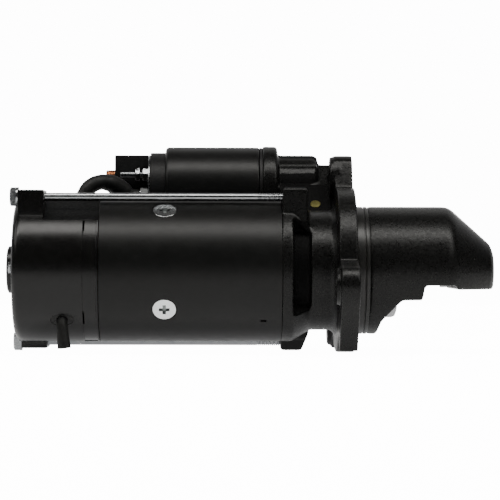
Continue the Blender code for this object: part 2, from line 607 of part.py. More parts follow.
for number, lean in enumerate(POLE_LEANS, 1):
    screw_axis = leaned(lean, 0.0, POLE_STATION) @ OUTWARD
    sunk = [(YOKE_BORE - 6.0, 0.0), (YOKE_BORE - 6.0, POLE_SCREW_RADIUS + SEAT),
            (head_base - sink, POLE_SCREW_RADIUS + SEAT), (head_base, POLE_SCREW_HEAD + SEAT),
            (YOKE_RADIUS + 4.0, POLE_SCREW_HEAD + SEAT), (YOKE_RADIUS + 4.0, 0.0)]
    cut(yoke, turned(f"pole screw hole {number}", sunk, sides=16, place=screw_axis))
    shoe = prism(f"pole_shoe_{number}", pole_outline, pole_low, pole_high, laminated, place=leaned(lean))
    cut(shoe, turned(f"pole thread {number}", rod(shoe_top + 1.0, YOKE_RADIUS, POLE_SCREW_RADIUS + SEAT), sides=16,
                     place=screw_axis))
    screw = turned(f"pole_screw_{number}", [
        (shoe_top + 1.6, 0.0), (shoe_top + 1.6, POLE_SCREW_RADIUS), (head_base - sink, POLE_SCREW_RADIUS),
        (head_base, POLE_SCREW_HEAD), (head_top - 0.2, POLE_SCREW_HEAD), (head_top, POLE_SCREW_HEAD - 0.4),
        (head_top, 0.0)], zinc, 16, screw_axis)
    cut(screw,
        block(f"cross recess {number}a", (head_top - 2.4, -5.0, -1.2), (head_top + 2.0, 5.0, 1.2), place=screw_axis),
        block(f"cross recess {number}b", (head_top - 2.4, -1.2, -5.0), (head_top + 2.0, 1.2, 5.0), place=screw_axis))
    gap = POLE_BODY_HALF + 0.8
    cut(field, block(f"pole gap {number}", (pole_low - 0.8, -gap, POLE_FACE - 2.5),
                     (pole_high + 0.8, gap, YOKE_RADIUS + 3.3), place=leaned(lean)))
    cut(field, block(f"coil gap {number}", (coil_low + 6.0, -3.0, POLE_FACE - 2.5),
                     (coil_high + 1.0, 3.0, YOKE_RADIUS + 3.3), place=leaned(lean + 45.0)))


# Armature: shaft, slotted core, winding and commutator
shaft = turned("armature_shaft", [
    (COVER_INSIDE + 0.8, 0.0), (COVER_INSIDE + 0.8, SHAFT_REAR), (REAR_JOURNAL_FRONT, SHAFT_REAR),
    (REAR_JOURNAL_FRONT, SHAFT_SEAT), (CORE_REAR - WINDING_END, SHAFT_SEAT), (CORE_REAR - WINDING_END, SHAFT_CORE),
    (CORE_FRONT + WINDING_END, SHAFT_CORE), (CORE_FRONT + WINDING_END, SHAFT_CENTRE), (HOUSING_REAR, SHAFT_CENTRE),
    (HOUSING_REAR, SPLINE_ROOT), (CLUTCH_START, SPLINE_ROOT), (CLUTCH_START, SHAFT_FRONT),
    (NOSE_JOURNAL - 0.6, SHAFT_FRONT), (NOSE_JOURNAL - 0.6, SHAFT_NOSE), (SHAFT_END - 0.6, SHAFT_NOSE),
    (SHAFT_END - 0.6, 0.0)], steel, MIDDLE)
join(shaft, prism("spline ribs", ribbed(SPLINE_ROOT - 0.4, SPLINE_TIP, SPLINE_HALF, SPLINE_COUNT),
                  HOUSING_REAR - 1.0, CLUTCH_START - 0.5))
pitch = 360.0 / CORE_SLOTS
slot_top = degrees(asin(SLOT_WIDTH / 2 / CORE_RADIUS))
core_outline = []
for k in range(CORE_SLOTS):
    middle = k * pitch
    core_outline += arc((0.0, 0.0), CORE_RADIUS, middle + slot_top, middle + pitch - slot_top, 3)
    turn = radians(middle + pitch)
    for side in (-SLOT_WIDTH / 2, SLOT_WIDTH / 2):
        core_outline.append((SLOT_FLOOR * cos(turn) - side * sin(turn), SLOT_FLOOR * sin(turn) + side * cos(turn)))
core = prism("armature_core", core_outline, CORE_REAR, CORE_FRONT, laminated)
cut(core, turned("core bore", rod(CORE_REAR - 1.0, CORE_FRONT + 1.0, SHAFT_CORE + SEAT), sides=MIDDLE))
winding = turned("armature_winding", [
    (COMMUTATOR_FRONT + SEAT, SHAFT_SEAT + SEAT), (COMMUTATOR_FRONT + SEAT, COMMUTATOR_RADIUS - 3.0),
    (CORE_REAR - WINDING_END, COMMUTATOR_RADIUS - 3.0), (CORE_REAR - WINDING_END + 4.0, CORE_RADIUS - 4.0),
    (CORE_REAR - SEAT, CORE_RADIUS - 2.5), (CORE_REAR - SEAT, SHAFT_CORE + SEAT),
    (CORE_REAR - WINDING_END + 1.0, SHAFT_CORE + SEAT), (CORE_REAR - WINDING_END - 0.5, SHAFT_CORE + SEAT),
    (CORE_REAR - WINDING_END - 0.5, SHAFT_SEAT + SEAT)], copper, MIDDLE)
front_end = turned("winding front", [
    (CORE_FRONT + SEAT, SHAFT_CORE + SEAT), (CORE_FRONT + SEAT, CORE_RADIUS - 2.5),
    (CORE_FRONT + WINDING_END - 4.0, CORE_RADIUS - 4.0), (CORE_FRONT + WINDING_END, CORE_RADIUS - 9.0),
    (CORE_FRONT + WINDING_END, SHAFT_CORE + SEAT)], sides=MIDDLE)
bar_half = SLOT_WIDTH / 2 - SEAT
for k in range(CORE_SLOTS):
    bar = block(f"slot bar {k + 1}", (CORE_REAR - 3.0, -bar_half, SLOT_FLOOR + SEAT), (CORE_FRONT + 3.0, bar_half,
                CORE_RADIUS - 4.5), place=Matrix.Rotation(radians(k * pitch - 90.0), 4, "X"))
    join(winding, bar)
join(winding, front_end)
segment_outline = ribbed(COMMUTATOR_RADIUS - 1.2, COMMUTATOR_RADIUS, pi * COMMUTATOR_RADIUS / CORE_SLOTS - 0.6,
                         CORE_SLOTS)
commutator = prism("commutator", segment_outline, COMMUTATOR_REAR, COMMUTATOR_FRONT, copper)
cut(commutator, turned("commutator bore", rod(COMMUTATOR_REAR - 1.0, COMMUTATOR_FRONT + 1.0, SHAFT_SEAT + SEAT),
                       sides=MIDDLE))

# Brush gear
brush_foot = COMMUTATOR_RADIUS + 0.4
spring_top = BAND_BORE - 4.6
brush_top = spring_top - BRUSH_SPRING_ROOM
half_width = BRUSH_WIDTH / 2
plate = turned("brush_plate", tube(BRUSH_PLATE_REAR, BRUSH_PLATE_FRONT, COMMUTATOR_RADIUS + 1.6, BAND_BORE - SEAT),
               plastic_black, LARGE)
for number, lean in enumerate(BRUSH_LEANS, 1):
    spot = leaned(lean)
    join(plate, block(f"brush box {number}", (BRUSH_REAR - 2.4, -half_width - 2.2, brush_foot + 2.0),
                      (BRUSH_PLATE_REAR + 1.0, half_width + 2.2, spring_top + 2.4), place=spot))
for number, lean in enumerate(BRUSH_LEANS, 1):
    spot = leaned(lean)
    cut(plate, block(f"brush channel {number}", (BRUSH_REAR - SEAT, -half_width - SEAT, 10.0),
                     (BRUSH_FRONT + SEAT, half_width + SEAT, spring_top), place=spot))
    block(f"brush_{number}", (BRUSH_REAR, -half_width, brush_foot), (BRUSH_FRONT, half_width, brush_top), carbon,
          spot)
    middle = (BRUSH_REAR + BRUSH_FRONT) / 2
    coil(f"brush_spring_{number}", 3.4, 0.6, brush_top + 0.3, spring_top - 0.3, 3, steel,
         leaned(lean, 0.0, middle) @ OUTWARD)

# End cover, cover band, bearing cap and through bolts
corner = arc((COVER_END + COVER_CORNER, COVER_RADIUS - COVER_CORNER), COVER_CORNER, 180.0, 90.0, 5)
cover = turned("end_cover", [(COVER_END, 0.0)] + corner + [(COVER_FRONT, COVER_RADIUS), (COVER_FRONT, 0.0)],
               gloss_black, LARGE)
rear_bore = SHAFT_REAR + RUN
bush_front = REAR_JOURNAL_FRONT - 1.5
band = turned("cover_band", [
    (BAND_REAR, BAND_BORE), (BAND_REAR, YOKE_RADIUS - 1.3), (BAND_REAR + 1.2, YOKE_RADIUS - 1.3),
    (BAND_REAR + 1.4, YOKE_RADIUS), (BAND_FRONT - 1.6, YOKE_RADIUS), (BAND_FRONT - 1.4, YOKE_RADIUS + 1.0),
    (BAND_FRONT, YOKE_RADIUS + 1.0), (BAND_FRONT, BAND_BORE)], gloss_black, LARGE)
for number, turn in enumerate((0.0, 180.0), 1):
    bolt_axis = leaned(BOLT_LEAN + turn, BOLT_OFFSET)
    flat = block(f"bolt flat {number}", (EAR_FRONT - 0.6, -FLAT_HALF, FLAT_OFFSET),
                 (BAND_FRONT + 2.0, FLAT_HALF, COVER_RADIUS + 20.0), place=leaned(BOLT_LEAN + turn))
    cut(cover, flat)
    cut(band, flat)
    join(cover, block(f"cover ear {number}", (EAR_REAR, bolt_y - EAR_FRONT_SIDE, bolt_z - EAR_DEPTH),
                      (EAR_FRONT, bolt_y + EAR_BACK_SIDE, bolt_z + EAR_TOP), place=leaned(turn)))
    head_front = EAR_REAR - SEAT - WASHER_THICK
    bolt = prism(f"through_bolt_{number}", hexagon(BOLT_HEAD_FLATS, 12.0), head_front - BOLT_HEAD_HEIGHT, head_front,
                 zinc, place=bolt_axis)
    join(bolt, turned(f"bolt shank {number}", [
        (head_front - 1.0, 0.0), (head_front - 1.0, 5.2), (head_front - 0.4, WASHER_RADIUS),
        (EAR_REAR - SEAT, WASHER_RADIUS), (EAR_REAR - SEAT, BOLT_RADIUS), (LUG_FRONT - 1.5, BOLT_RADIUS),
        (LUG_FRONT - 1.5, 0.0)], sides=16, place=bolt_axis))
cut(cover, turned("brush room", [
    (COVER_INSIDE, rear_bore + BUSH_WALL + 4.0), (COVER_INSIDE, BAND_BORE), (COVER_FRONT + 2.0, BAND_BORE),
    (COVER_FRONT + 2.0, 0.0), (bush_front, 0.0), (bush_front, rear_bore + BUSH_WALL + 4.0)], sides=LARGE))
cut(cover, turned("bush hole", rod(COVER_END - 2.0, bush_front + 2.0, rear_bore + BUSH_WALL + SEAT), sides=SMALL))
for number, turn in enumerate((0.0, 180.0), 1):
    bolt_room = [(COVER_END - 10.0, 0.0), (COVER_END - 10.0, WASHER_RADIUS + 0.9), (EAR_REAR, WASHER_RADIUS + 0.9),
                 (EAR_REAR, BOLT_RADIUS + SEAT), (BAND_FRONT, BOLT_RADIUS + SEAT), (BAND_FRONT, 0.0)]
    cut(cover, turned(f"bolt room {number}", bolt_room, sides=SMALL, place=leaned(BOLT_LEAN + turn, BOLT_OFFSET)))
turned("rear_bush", tube(COVER_INSIDE, bush_front, rear_bore, rear_bore + BUSH_WALL), bronze, SMALL)
cap_base = COVER_END - SEAT
turned("bearing_cap", [
    (cap_base, 0.0), (cap_base, CAP_RADIUS), (cap_base - CAP_HEIGHT + 1.2, CAP_RADIUS),
    (cap_base - CAP_HEIGHT, CAP_RADIUS - 1.2), (cap_base - CAP_HEIGHT, 0.0)], gloss_black, MIDDLE)
for number, lean in enumerate((86.0, -94.0), 1):
    spot = leaned(lean, CAP_SCREW_OFFSET)
    cut(cover, turned(f"cap screw hole {number}", rod(COVER_END - 2.0, COVER_INSIDE - 0.8, 2.3 + SEAT), sides=12,
                      place=spot))
    turned(f"cap_screw_{number}", [
        (cap_base - 4.0, 0.0), (cap_base - 4.0, 3.6), (cap_base - 3.0, 4.6), (cap_base, 4.6), (cap_base, 2.3),
        (COVER_INSIDE - 1.2, 2.3), (COVER_INSIDE - 1.2, 0.0)], zinc, 16, spot)

# Drain tube and the motor lead with its grommet and boot
drain_axis = leaned(DRAIN_LEAN, 0.0, DRAIN_STATION)
drain_seat = COVER_RADIUS - 6.4
oval = arc((4.6, 0.0), 5.6, -90.0, 90.0, 8) + arc((-4.6, 0.0), 5.6, 90.0, 270.0, 8)
cut(cover, prism("drain recess", oval, drain_seat, COVER_RADIUS + 6.0, along="Z", place=drain_axis))


def out_from(station, lean, offset, shift=(0.0, 0.0, 0.0)):
    """Point on a lean line, with a shift added."""
    angle = radians(lean)
    return (station + shift[0], -offset * sin(angle) + shift[1], offset * cos(angle) + shift[2])


drain_path = [out_from(DRAIN_STATION, DRAIN_LEAN, drain_seat + 0.3),
              out_from(DRAIN_STATION, DRAIN_LEAN, COVER_RADIUS + 2.6, (0.3, 0.0, -0.5)),
              out_from(DRAIN_STATION, DRAIN_LEAN, COVER_RADIUS + 4.1, (0.8, -0.6, -7.0)),
              out_from(DRAIN_STATION, DRAIN_LEAN, COVER_RADIUS + 4.1, (1.5, -0.6, -19.0))]
drain = swept("drain_tube", drain_path, DRAIN_RADIUS, rubber_black, 12)
drain_end = Vector(drain_path[-1])
drain_way = (drain_end - Vector(drain_path[-2])).normalized()
bore_place = at(*drain_end) @ drain_way.to_track_quat("X", "Z").to_matrix().to_4x4()
cut(drain, turned("drain bore", rod(-8.0, 3.0, DRAIN_RADIUS - 1.6), sides=12, place=bore_place))

grommet_bore = LEAD_RADIUS + SEAT
grommet_axis = leaned(GROMMET_LEAN, 0.0, GROMMET_STATION) @ OUTWARD
grommet_outer = grommet_bore + GROMMET_WALL
cut(cover, turned("grommet hole", rod(BAND_BORE - 4.0, COVER_RADIUS + 6.0, grommet_outer + SEAT), sides=SMALL,
                  place=grommet_axis))
weld(cover)
turned("lead_grommet", [
    (BAND_BORE + 0.6, grommet_bore), (BAND_BORE + 0.6, grommet_outer), (COVER_RADIUS + 0.8, grommet_outer),
    (COVER_RADIUS + 0.8, grommet_outer + 1.6), (COVER_RADIUS + 2.2, grommet_outer + 1.2),
    (COVER_RADIUS + 2.7, grommet_bore)], rubber_black, SMALL, grommet_axis)
motor_spot = terminal(MOTOR_STUD).translation / MM
stud_end = TERMINAL_PLATE_END - MOTOR_STUD_OUT
lead_end = stud_end - 0.6
lead_path = [out_from(GROMMET_STATION, GROMMET_LEAN, BAND_BORE - 1.0),
             out_from(GROMMET_STATION, GROMMET_LEAN, COVER_RADIUS - 3.4),
             out_from(GROMMET_STATION, GROMMET_LEAN, COVER_RADIUS + 2.8),
             out_from(GROMMET_STATION, GROMMET_LEAN, COVER_RADIUS + 6.6),
             (GROMMET_STATION + 8.0, 38.5, 65.0),
             (lead_end - 26.0, 43.0, 72.0),
             (lead_end - 14.0, motor_spot.y - 2.5, motor_spot.z + 7.5),
             (lead_end - 4.0, motor_spot.y, motor_spot.z),
             (lead_end, motor_spot.y, motor_spot.z)]
swept("motor_lead", lead_path, LEAD_RADIUS, rubber_black, 12, 5)
nut_front = TERMINAL_PLATE_END - SEAT
motor_nut_height = 6.4
boot_front = nut_front - motor_nut_height - SEAT
turned("lead_boot", [
    (lead_end - 1.5, LEAD_RADIUS + 1.5), (lead_end - 2.5, LEAD_RADIUS + 3.0), (lead_end + 2.0, LEAD_RADIUS + 3.0),
    (boot_front, MOTOR_STUD_RADIUS + 3.4), (boot_front, MOTOR_STUD_RADIUS + SEAT),
    (lead_end + 0.5, MOTOR_STUD_RADIUS + SEAT), (lead_end + 0.5, LEAD_RADIUS + 1.5)],
    rubber_black, SMALL, terminal(MOTOR_STUD))

# Solenoid: can, cap, core, winding and terminals
can_bore = CAN_RADIUS - CAN_WALL
turned("solenoid_can", [
    (CAN_REAR, CAP_BODY_RADIUS + SEAT), (CAN_REAR, CAN_RADIUS - 3.0), (CAN_REAR + 0.9, CAN_RADIUS - 0.9),
    (CAN_REAR + 3.0, CAN_RADIUS), (CAN_FRONT - 3.6, CAN_RADIUS), (CAN_FRONT - 3.2, CAN_RADIUS - 0.9),
    (CAN_FRONT - 2.4, CAN_RADIUS - 0.9), (CAN_FRONT - 2.0, CAN_RADIUS), (CAN_FRONT, CAN_RADIUS),
    (CAN_FRONT, PLUNGER_RADIUS + RUN), (CAN_FRONT - 3.6, PLUNGER_RADIUS + RUN), (CAN_FRONT - 3.6, can_bore),
    (CAN_REAR + 2.0, can_bore), (CAN_REAR + 2.0, CAP_BODY_RADIUS + SEAT)], satin_black, MIDDLE, SOLENOID)
turned("solenoid_gasket", tube(CAN_FRONT + SEAT, SOLENOID_SEAT_REAR - SEAT, HOOD_BORE + 0.6, CAN_RADIUS - 1.2),
       rubber_black, MIDDLE, SOLENOID)
cap_foot = CAN_REAR + 2.0 + SEAT
cap_front = cap_foot + 2.2
contact_end = CAP_BODY_END + CAP_BODY_WALL
cap_body = turned("solenoid_cap", [
    (CAP_BODY_END, 0.0), (CAP_BODY_END, CAP_BODY_RADIUS - 1.0), (CAP_BODY_END + 1.0, CAP_BODY_RADIUS),
    (cap_foot, CAP_BODY_RADIUS), (cap_foot, can_bore - SEAT), (cap_front, can_bore - SEAT), (cap_front, CONTACT_ROOM),
    (contact_end, CONTACT_ROOM), (contact_end, 0.0)], plastic_black, MIDDLE, SOLENOID)
core_flange = cap_front + SEAT
core_face = PLUNGER_REAR - PLUNGER_STROKE - 0.8
winding_rear = core_flange + 4.0 + SEAT
turned("solenoid_core", [
    (core_flange, 3.0 + RUN), (core_flange, can_bore - SEAT), (core_flange + 4.0, can_bore - SEAT),
    (core_flange + 4.0, PLUNGER_RADIUS), (core_face, PLUNGER_RADIUS), (core_face, 3.0 + RUN)],
    steel, MIDDLE, SOLENOID)
turned("solenoid_winding", tube(winding_rear, CAN_FRONT - 3.6 - SEAT, PLUNGER_RADIUS + RUN, can_bore - SEAT), varnish,
       MIDDLE, SOLENOID)
terminal_plate = turned("terminal_plate", rod(TERMINAL_PLATE_END, CAP_BODY_END - SEAT, TERMINAL_PLATE_RADIUS), zinc,
                        MIDDLE, SOLENOID)
studs = (("battery", BATTERY_STUD, BATTERY_STUD_RADIUS, BATTERY_STUD_OUT, 7.4, 16.0, copper),
         ("motor", MOTOR_STUD, MOTOR_STUD_RADIUS, MOTOR_STUD_OUT, motor_nut_height, 13.0, copper),
         ("trigger", TRIGGER_STUD, TRIGGER_STUD_RADIUS, TRIGGER_STUD_OUT, 4.6, 10.0, zinc))
for name, stud, radius, reach, nut_height, nut_flats, metal in studs:
    spot = terminal(stud)
    outer_end = TERMINAL_PLATE_END - reach
    head = contact_end + SEAT
    turned(f"{name}_stud", [
        (outer_end, 0.0), (outer_end, radius - 0.7), (outer_end + 0.8, radius), (head, radius),
        (head, radius + STUD_HEAD_EXTRA), (head + STUD_HEAD_THICK, radius + STUD_HEAD_EXTRA),
        (head + STUD_HEAD_THICK, 0.0)], metal, SMALL, spot)
    cut(cap_body, turned(f"{name} stud hole", rod(CAP_BODY_END - 1.0, contact_end + 1.0, radius + SEAT), sides=SMALL,
                         place=spot))
    cut(terminal_plate, turned(f"{name} plate hole", rod(TERMINAL_PLATE_END - 1.0, CAP_BODY_END, radius + 0.9),
                               sides=SMALL, place=spot))
    nut = prism(f"{name}_nut", hexagon(nut_flats, 20.0), nut_front - nut_height, nut_front, zinc, place=spot)
    cut(nut, turned(f"{name} nut hole", rod(nut_front - 20.0, nut_front + 5.0, radius + SEAT), sides=SMALL, place=spot))
battery_spot = terminal(BATTERY_STUD)
cover_length, cover_width, cover_height = TERMINAL_COVER
cover_side = cover_width / 2
cover_low = TERMINAL_PLATE_END - SEAT - cover_length
cover_foot = -TERMINAL_COVER_DROP
box = block("terminal_cover", (cover_low, -cover_side + 1.0, cover_foot), (TERMINAL_PLATE_END - SEAT, cover_side + 1.0,
            cover_height + cover_foot), plastic_black, battery_spot)
wall = TERMINAL_COVER_WALL
cut(box,
    block("terminal cover inside", (cover_low + wall, -cover_side + 1.0 + wall, cover_foot + wall),
          (TERMINAL_PLATE_END + 2.0, cover_side + 1.0 - wall, cover_height + cover_foot - wall), place=battery_spot),
    turned("terminal cover hole", rod(cover_low - 2.0, cover_low + 4.0, BATTERY_STUD_RADIUS + SEAT), sides=SMALL,
           place=battery_spot))

# Plunger, return spring and moving contact
plunger = turned("plunger", [
    (PLUNGER_REAR, 0.0), (PLUNGER_REAR, PLUNGER_RADIUS - 0.8), (PLUNGER_REAR + 0.8, PLUNGER_RADIUS),
    (COLLAR_STATION - 2.4, PLUNGER_RADIUS), (COLLAR_STATION - 2.4, SPRING_COLLAR), (COLLAR_STATION, SPRING_COLLAR),
    (COLLAR_STATION, 9.0), (COLLAR_STATION + 2.0, 9.0), (COLLAR_STATION + 2.0, 0.0)], steel, MIDDLE, SOLENOID)
hook = block("hook end", (COLLAR_STATION + 1.0, -8.0, -7.0), (HOOK_FRONT, 8.0, 8.5), place=SOLENOID)
cut(hook, block("hook slot", (LEVER_TOP_STATION - HOOK_HALF, -9.0, -15.0), (LEVER_TOP_STATION + HOOK_HALF, 9.0, 4.6),
                place=SOLENOID))
join(plunger, hook)
coil("return_spring", SPRING_RADIUS, SPRING_WIRE, CAN_FRONT + SEAT, COLLAR_STATION - 2.4 - SEAT, 5, steel, SOLENOID)
contact_low = contact_end + SEAT + STUD_HEAD_THICK + CONTACT_TRAVEL + 0.6
turned("moving_contact", [
    (contact_low, 0.0), (contact_low, CONTACT_RADIUS), (contact_low + 2.4, CONTACT_RADIUS), (contact_low + 2.4, 3.0),
    (core_face - 0.5, 3.0), (core_face - 0.5, 0.0)], copper, MIDDLE, SOLENOID)

# Shift lever and its pivot pin
pivot = leaned(SOLENOID_LEAN, PIVOT_OFFSET, PIVOT_STATION)
turned("pivot_pin", [
    (-LEVER_BOX_HALF - 0.6, 0.0), (-LEVER_BOX_HALF - 0.6, PIVOT_RADIUS - 0.5), (-LEVER_BOX_HALF, PIVOT_RADIUS),
    (LEVER_BOX_HALF, PIVOT_RADIUS), (LEVER_BOX_HALF + 0.6, PIVOT_RADIUS - 0.5), (LEVER_BOX_HALF + 0.6, 0.0)],
    yellow_zinc, SMALL, pivot @ ACROSS)
lever = turned("shift_lever", rod(-11.0, 11.0, LEVER_BOSS), steel, SMALL, pivot @ ACROSS)
lever.matrix_world = pivot
lever.data.transform(ACROSS)
top = (-LEVER_UPPER * sin(radians(LEVER_TOP_LEAN)), LEVER_UPPER * cos(radians(LEVER_TOP_LEAN)))
pad = (GROOVE_STATION - PIVOT_STATION, -PIVOT_OFFSET * cos(radians(LEVER_REST_LEAN)))
upper_arm = [(5.0, -2.0), (top[0] + 2.4, top[1]), (top[0] - 2.4, top[1]), (-6.0, -2.0)]
prong_side = [(pad[0] + 2.2, pad[1]), (3.2, -10.0), (2.6, -4.0), (-4.4, -4.0), (-5.4, -10.0), (pad[0] - 2.2, pad[1])]
bridge_side = [(1.4, -16.0), (2.8, -5.0), (-4.0, -5.0), (-6.4, -16.0)]
pad_radius = GROOVE_WIDTH / 2 - 0.4
join(lever,
     prism("lever arm", upper_arm, -6.0, 6.0, along="Y", place=pivot),
     turned("lever ball", rod(-6.0, 6.0, LEVER_BALL), sides=16, place=pivot @ at(top[0], 0.0, top[1]) @ ACROSS),
     prism("lever bridge", bridge_side, -PRONG_OUTER + 0.2, PRONG_OUTER - 0.2, along="Y", place=pivot))
for number, side in enumerate((-1.0, 1.0), 1):
    low, high = sorted((side * PRONG_INNER, side * PRONG_OUTER))
    join(lever,
         prism(f"lever prong {number}", prong_side, low, high, along="Y", place=pivot),
         turned(f"lever pad {number}", rod(low, high, pad_radius), sides=16,
                place=pivot @ at(pad[0], 0.0, pad[1]) @ ACROSS))
cut(lever, turned("lever hole", rod(-30.0, 30.0, PIVOT_RADIUS + RUN), sides=SMALL, place=pivot @ ACROSS))

# Drive: clutch with its guide sleeve, pinion and stop ring
groove_low = GROOVE_STATION - GROOVE_WIDTH / 2
groove_high = GROOVE_STATION + GROOVE_WIDTH / 2
hub_room = PINION_HUB + RUN
hub_floor = CLUTCH_START + 4.0
clutch = turned("clutch_shell", [
    (groove_low - COLLAR_THICK, 0.0), (groove_low - COLLAR_THICK, COLLAR_RADIUS), (groove_low, COLLAR_RADIUS),
    (groove_low, GROOVE_RADIUS), (groove_high, GROOVE_RADIUS), (groove_high, COLLAR_RADIUS),
    (groove_high + COLLAR_THICK, COLLAR_RADIUS), (groove_high + COLLAR_THICK, GROOVE_RADIUS + 2.0),
    (CLUTCH_START, GROOVE_RADIUS + 2.0), (CLUTCH_START, CLUTCH_RADIUS - 6.0), (CLUTCH_START + 6.0, CLUTCH_RADIUS),
    (CLUTCH_END - 3.5, CLUTCH_RADIUS), (CLUTCH_END - 1.0, CLUTCH_RADIUS - 1.0), (CLUTCH_END, CLUTCH_RADIUS - 3.5),
    (CLUTCH_END, hub_room), (hub_floor, hub_room), (hub_floor, 0.0)], steel, LARGE)
cut(clutch, prism("spline slots", ribbed(SPLINE_ROOT + RUN, SPLINE_TIP + RUN, SPLINE_HALF + SEAT, SPLINE_COUNT),
                  groove_low - COLLAR_THICK - 2.0, hub_floor + 2.0))
pinion = prism("pinion", gear(PINION_TEETH, PINION_MODULE), PINION_START, PINION_END, steel)
join(pinion, turned("pinion hub", rod(hub_floor + SEAT, PINION_START + 1.0, PINION_HUB), sides=MIDDLE))
cut(pinion, turned("pinion bore", rod(hub_floor - 2.0, PINION_END + 2.0, SHAFT_FRONT + RUN), sides=MIDDLE))
turned("stop_ring", tube(STOP_RING_START, STOP_RING_START + STOP_RING_LENGTH, SHAFT_FRONT + SEAT, STOP_RING_RADIUS),
       steel, SMALL)
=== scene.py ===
"""Starter motor: the looks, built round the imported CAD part.

Sizes are in millimetres and become metres in the meshes. The shaft lies along X with the nose at +X,
and Z is up. A lean is an angle in degrees about the shaft, from straight up towards -Y, which is the
camera's side.
"""
import json
from math import asin, atan2, cos, degrees, hypot, pi, radians, sin, tan

import bmesh
import bpy
from mathutils import Matrix, Vector


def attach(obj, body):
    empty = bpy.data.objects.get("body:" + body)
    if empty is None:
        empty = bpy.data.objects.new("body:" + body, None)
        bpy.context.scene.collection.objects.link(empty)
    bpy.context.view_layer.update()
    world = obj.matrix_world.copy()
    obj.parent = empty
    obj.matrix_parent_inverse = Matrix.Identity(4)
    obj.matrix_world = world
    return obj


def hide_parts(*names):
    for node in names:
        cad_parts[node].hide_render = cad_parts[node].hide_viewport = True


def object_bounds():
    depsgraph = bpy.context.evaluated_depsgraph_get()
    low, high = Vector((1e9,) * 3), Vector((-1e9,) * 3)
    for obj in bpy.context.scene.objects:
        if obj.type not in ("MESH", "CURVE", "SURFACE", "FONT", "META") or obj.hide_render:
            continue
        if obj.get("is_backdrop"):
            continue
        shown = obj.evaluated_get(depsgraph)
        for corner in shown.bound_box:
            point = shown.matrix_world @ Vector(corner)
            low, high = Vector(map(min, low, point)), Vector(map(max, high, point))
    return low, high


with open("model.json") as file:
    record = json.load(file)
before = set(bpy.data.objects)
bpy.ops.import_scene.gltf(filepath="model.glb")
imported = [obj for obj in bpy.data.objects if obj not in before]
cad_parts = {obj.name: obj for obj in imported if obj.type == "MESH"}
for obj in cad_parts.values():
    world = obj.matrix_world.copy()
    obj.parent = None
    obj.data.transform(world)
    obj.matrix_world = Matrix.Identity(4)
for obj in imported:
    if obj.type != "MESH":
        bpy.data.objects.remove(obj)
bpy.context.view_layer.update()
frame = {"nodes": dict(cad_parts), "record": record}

MM = 0.001
GAP = 0.35
SLIDE_GAP = 0.45
HALVES = (0.0, 180.0)
QUARTERS = (0.0, 90.0, 180.0, 270.0)

# Sides of turned pieces
FINE = 160
ROUND = 96
MEDIUM = 64
SMALL = 40

# Stage
WHITE = 14.0
WARM_WHITE = (1.0, 0.985, 0.945)
FLOOR_HEIGHT = -66.0

# Drive end housing
FLANGE_THICK = 14.4
FLANGE_RADIUS = 66.0
FLANGE_BOTTOM = 65.0
FLANGE_CORNER = 58.0
BOLT_CIRCLE = 79.7
EAR_LEANS = (-21.6, 98.4, -127.0)
EAR_RADII = (18.6, 18.0, 17.0)
BOSS_RADII = (17.2, 14.0, 14.0)
BOSS_HEIGHT = 3.6
FLANGE_HOLE = 6.5
NECK_FRONT = -18.8
NECK_REAR = -35.2
NECK_RADIUS = 47.6
NECK_BORE = 38.6
RING_FRONT = -49.5
HOUSING_REAR = -58.7
RECESS_FLOOR = 42.2
RECESS_START = 133.0
RECESS_STOP = 219.0
PILOT_RADIUS = 50.8
PILOT_LENGTH = 6.5
PILOT_SEAT = 49.2
PILOT_BORE = 48.0
NOSE_RADIUS = 50.8
NOSE_BORE = 43.5
NOSE_SHOULDER = 73.3
NOSE_LENGTH = 111.0
NOSE_TIP_RADIUS = 19.0
LUG_REAR = -57.5
LUG_FRONT = -38.0
LUG_TAPERS = (0.0, 2.8)
LUG_DRAFT = 34.0
BUSH_START = 79.0
BUSH_END = 107.5
BUSH_SEAT = 12.1
PIVOT_OFFSET = 50.0
PIVOT_STATION = -29.6

# Drive
GROOVE_STATION = -37.5
GROOVE_WIDTH = 12.6
GROOVE_RIM = 22.0
GROOVE_FLOOR = 16.4
CLUTCH_BORE = 13.45
CLUTCH_START = -8.0
CLUTCH_END = 33.5
CLUTCH_RADIUS = 37.5
PINION_START = 33.85
PINION_END = 51.85
PINION_HUB = 15.4
PINION_TEETH = 11
PINION_MODULE = 3.0
SHAFT_FRONT = 9.5
STOP_RING_START = 69.15

# Yoke, rear cover and through bolts
YOKE_RADIUS = 56.7
YOKE_BORE = 51.0
YOKE_FRONT = -59.05
YOKE_REAR = -201.25
BAND_FRONT = -201.6
BAND_REAR = -213.1
BAND_BORE = 47.2
COVER_FRONT = -213.45
COVER_END = -268.85
COVER_RADIUS = 57.4
COVER_WALL = 5.5
COVER_ROUND = 7.0
EAR_REAR = -264.95
EAR_FRONT = -244.45
BOLT_OFFSET = 60.7
BOLT_LEAN = 18.4
BOLT_RADIUS = 3.2
WASHER_RADIUS = 7.6
FLAT_OFFSET = 50.4
DRAIN_STATION = -229.8
DRAIN_LEAN = 132.8
OVAL_HALF = 3.4
LEAD_STATION = -223.0
LEAD_LEAN = -32.0
POLE_STATION = -150.0
POLE_LEAN = 33.0
SCREW_TOP = YOKE_RADIUS - 0.7

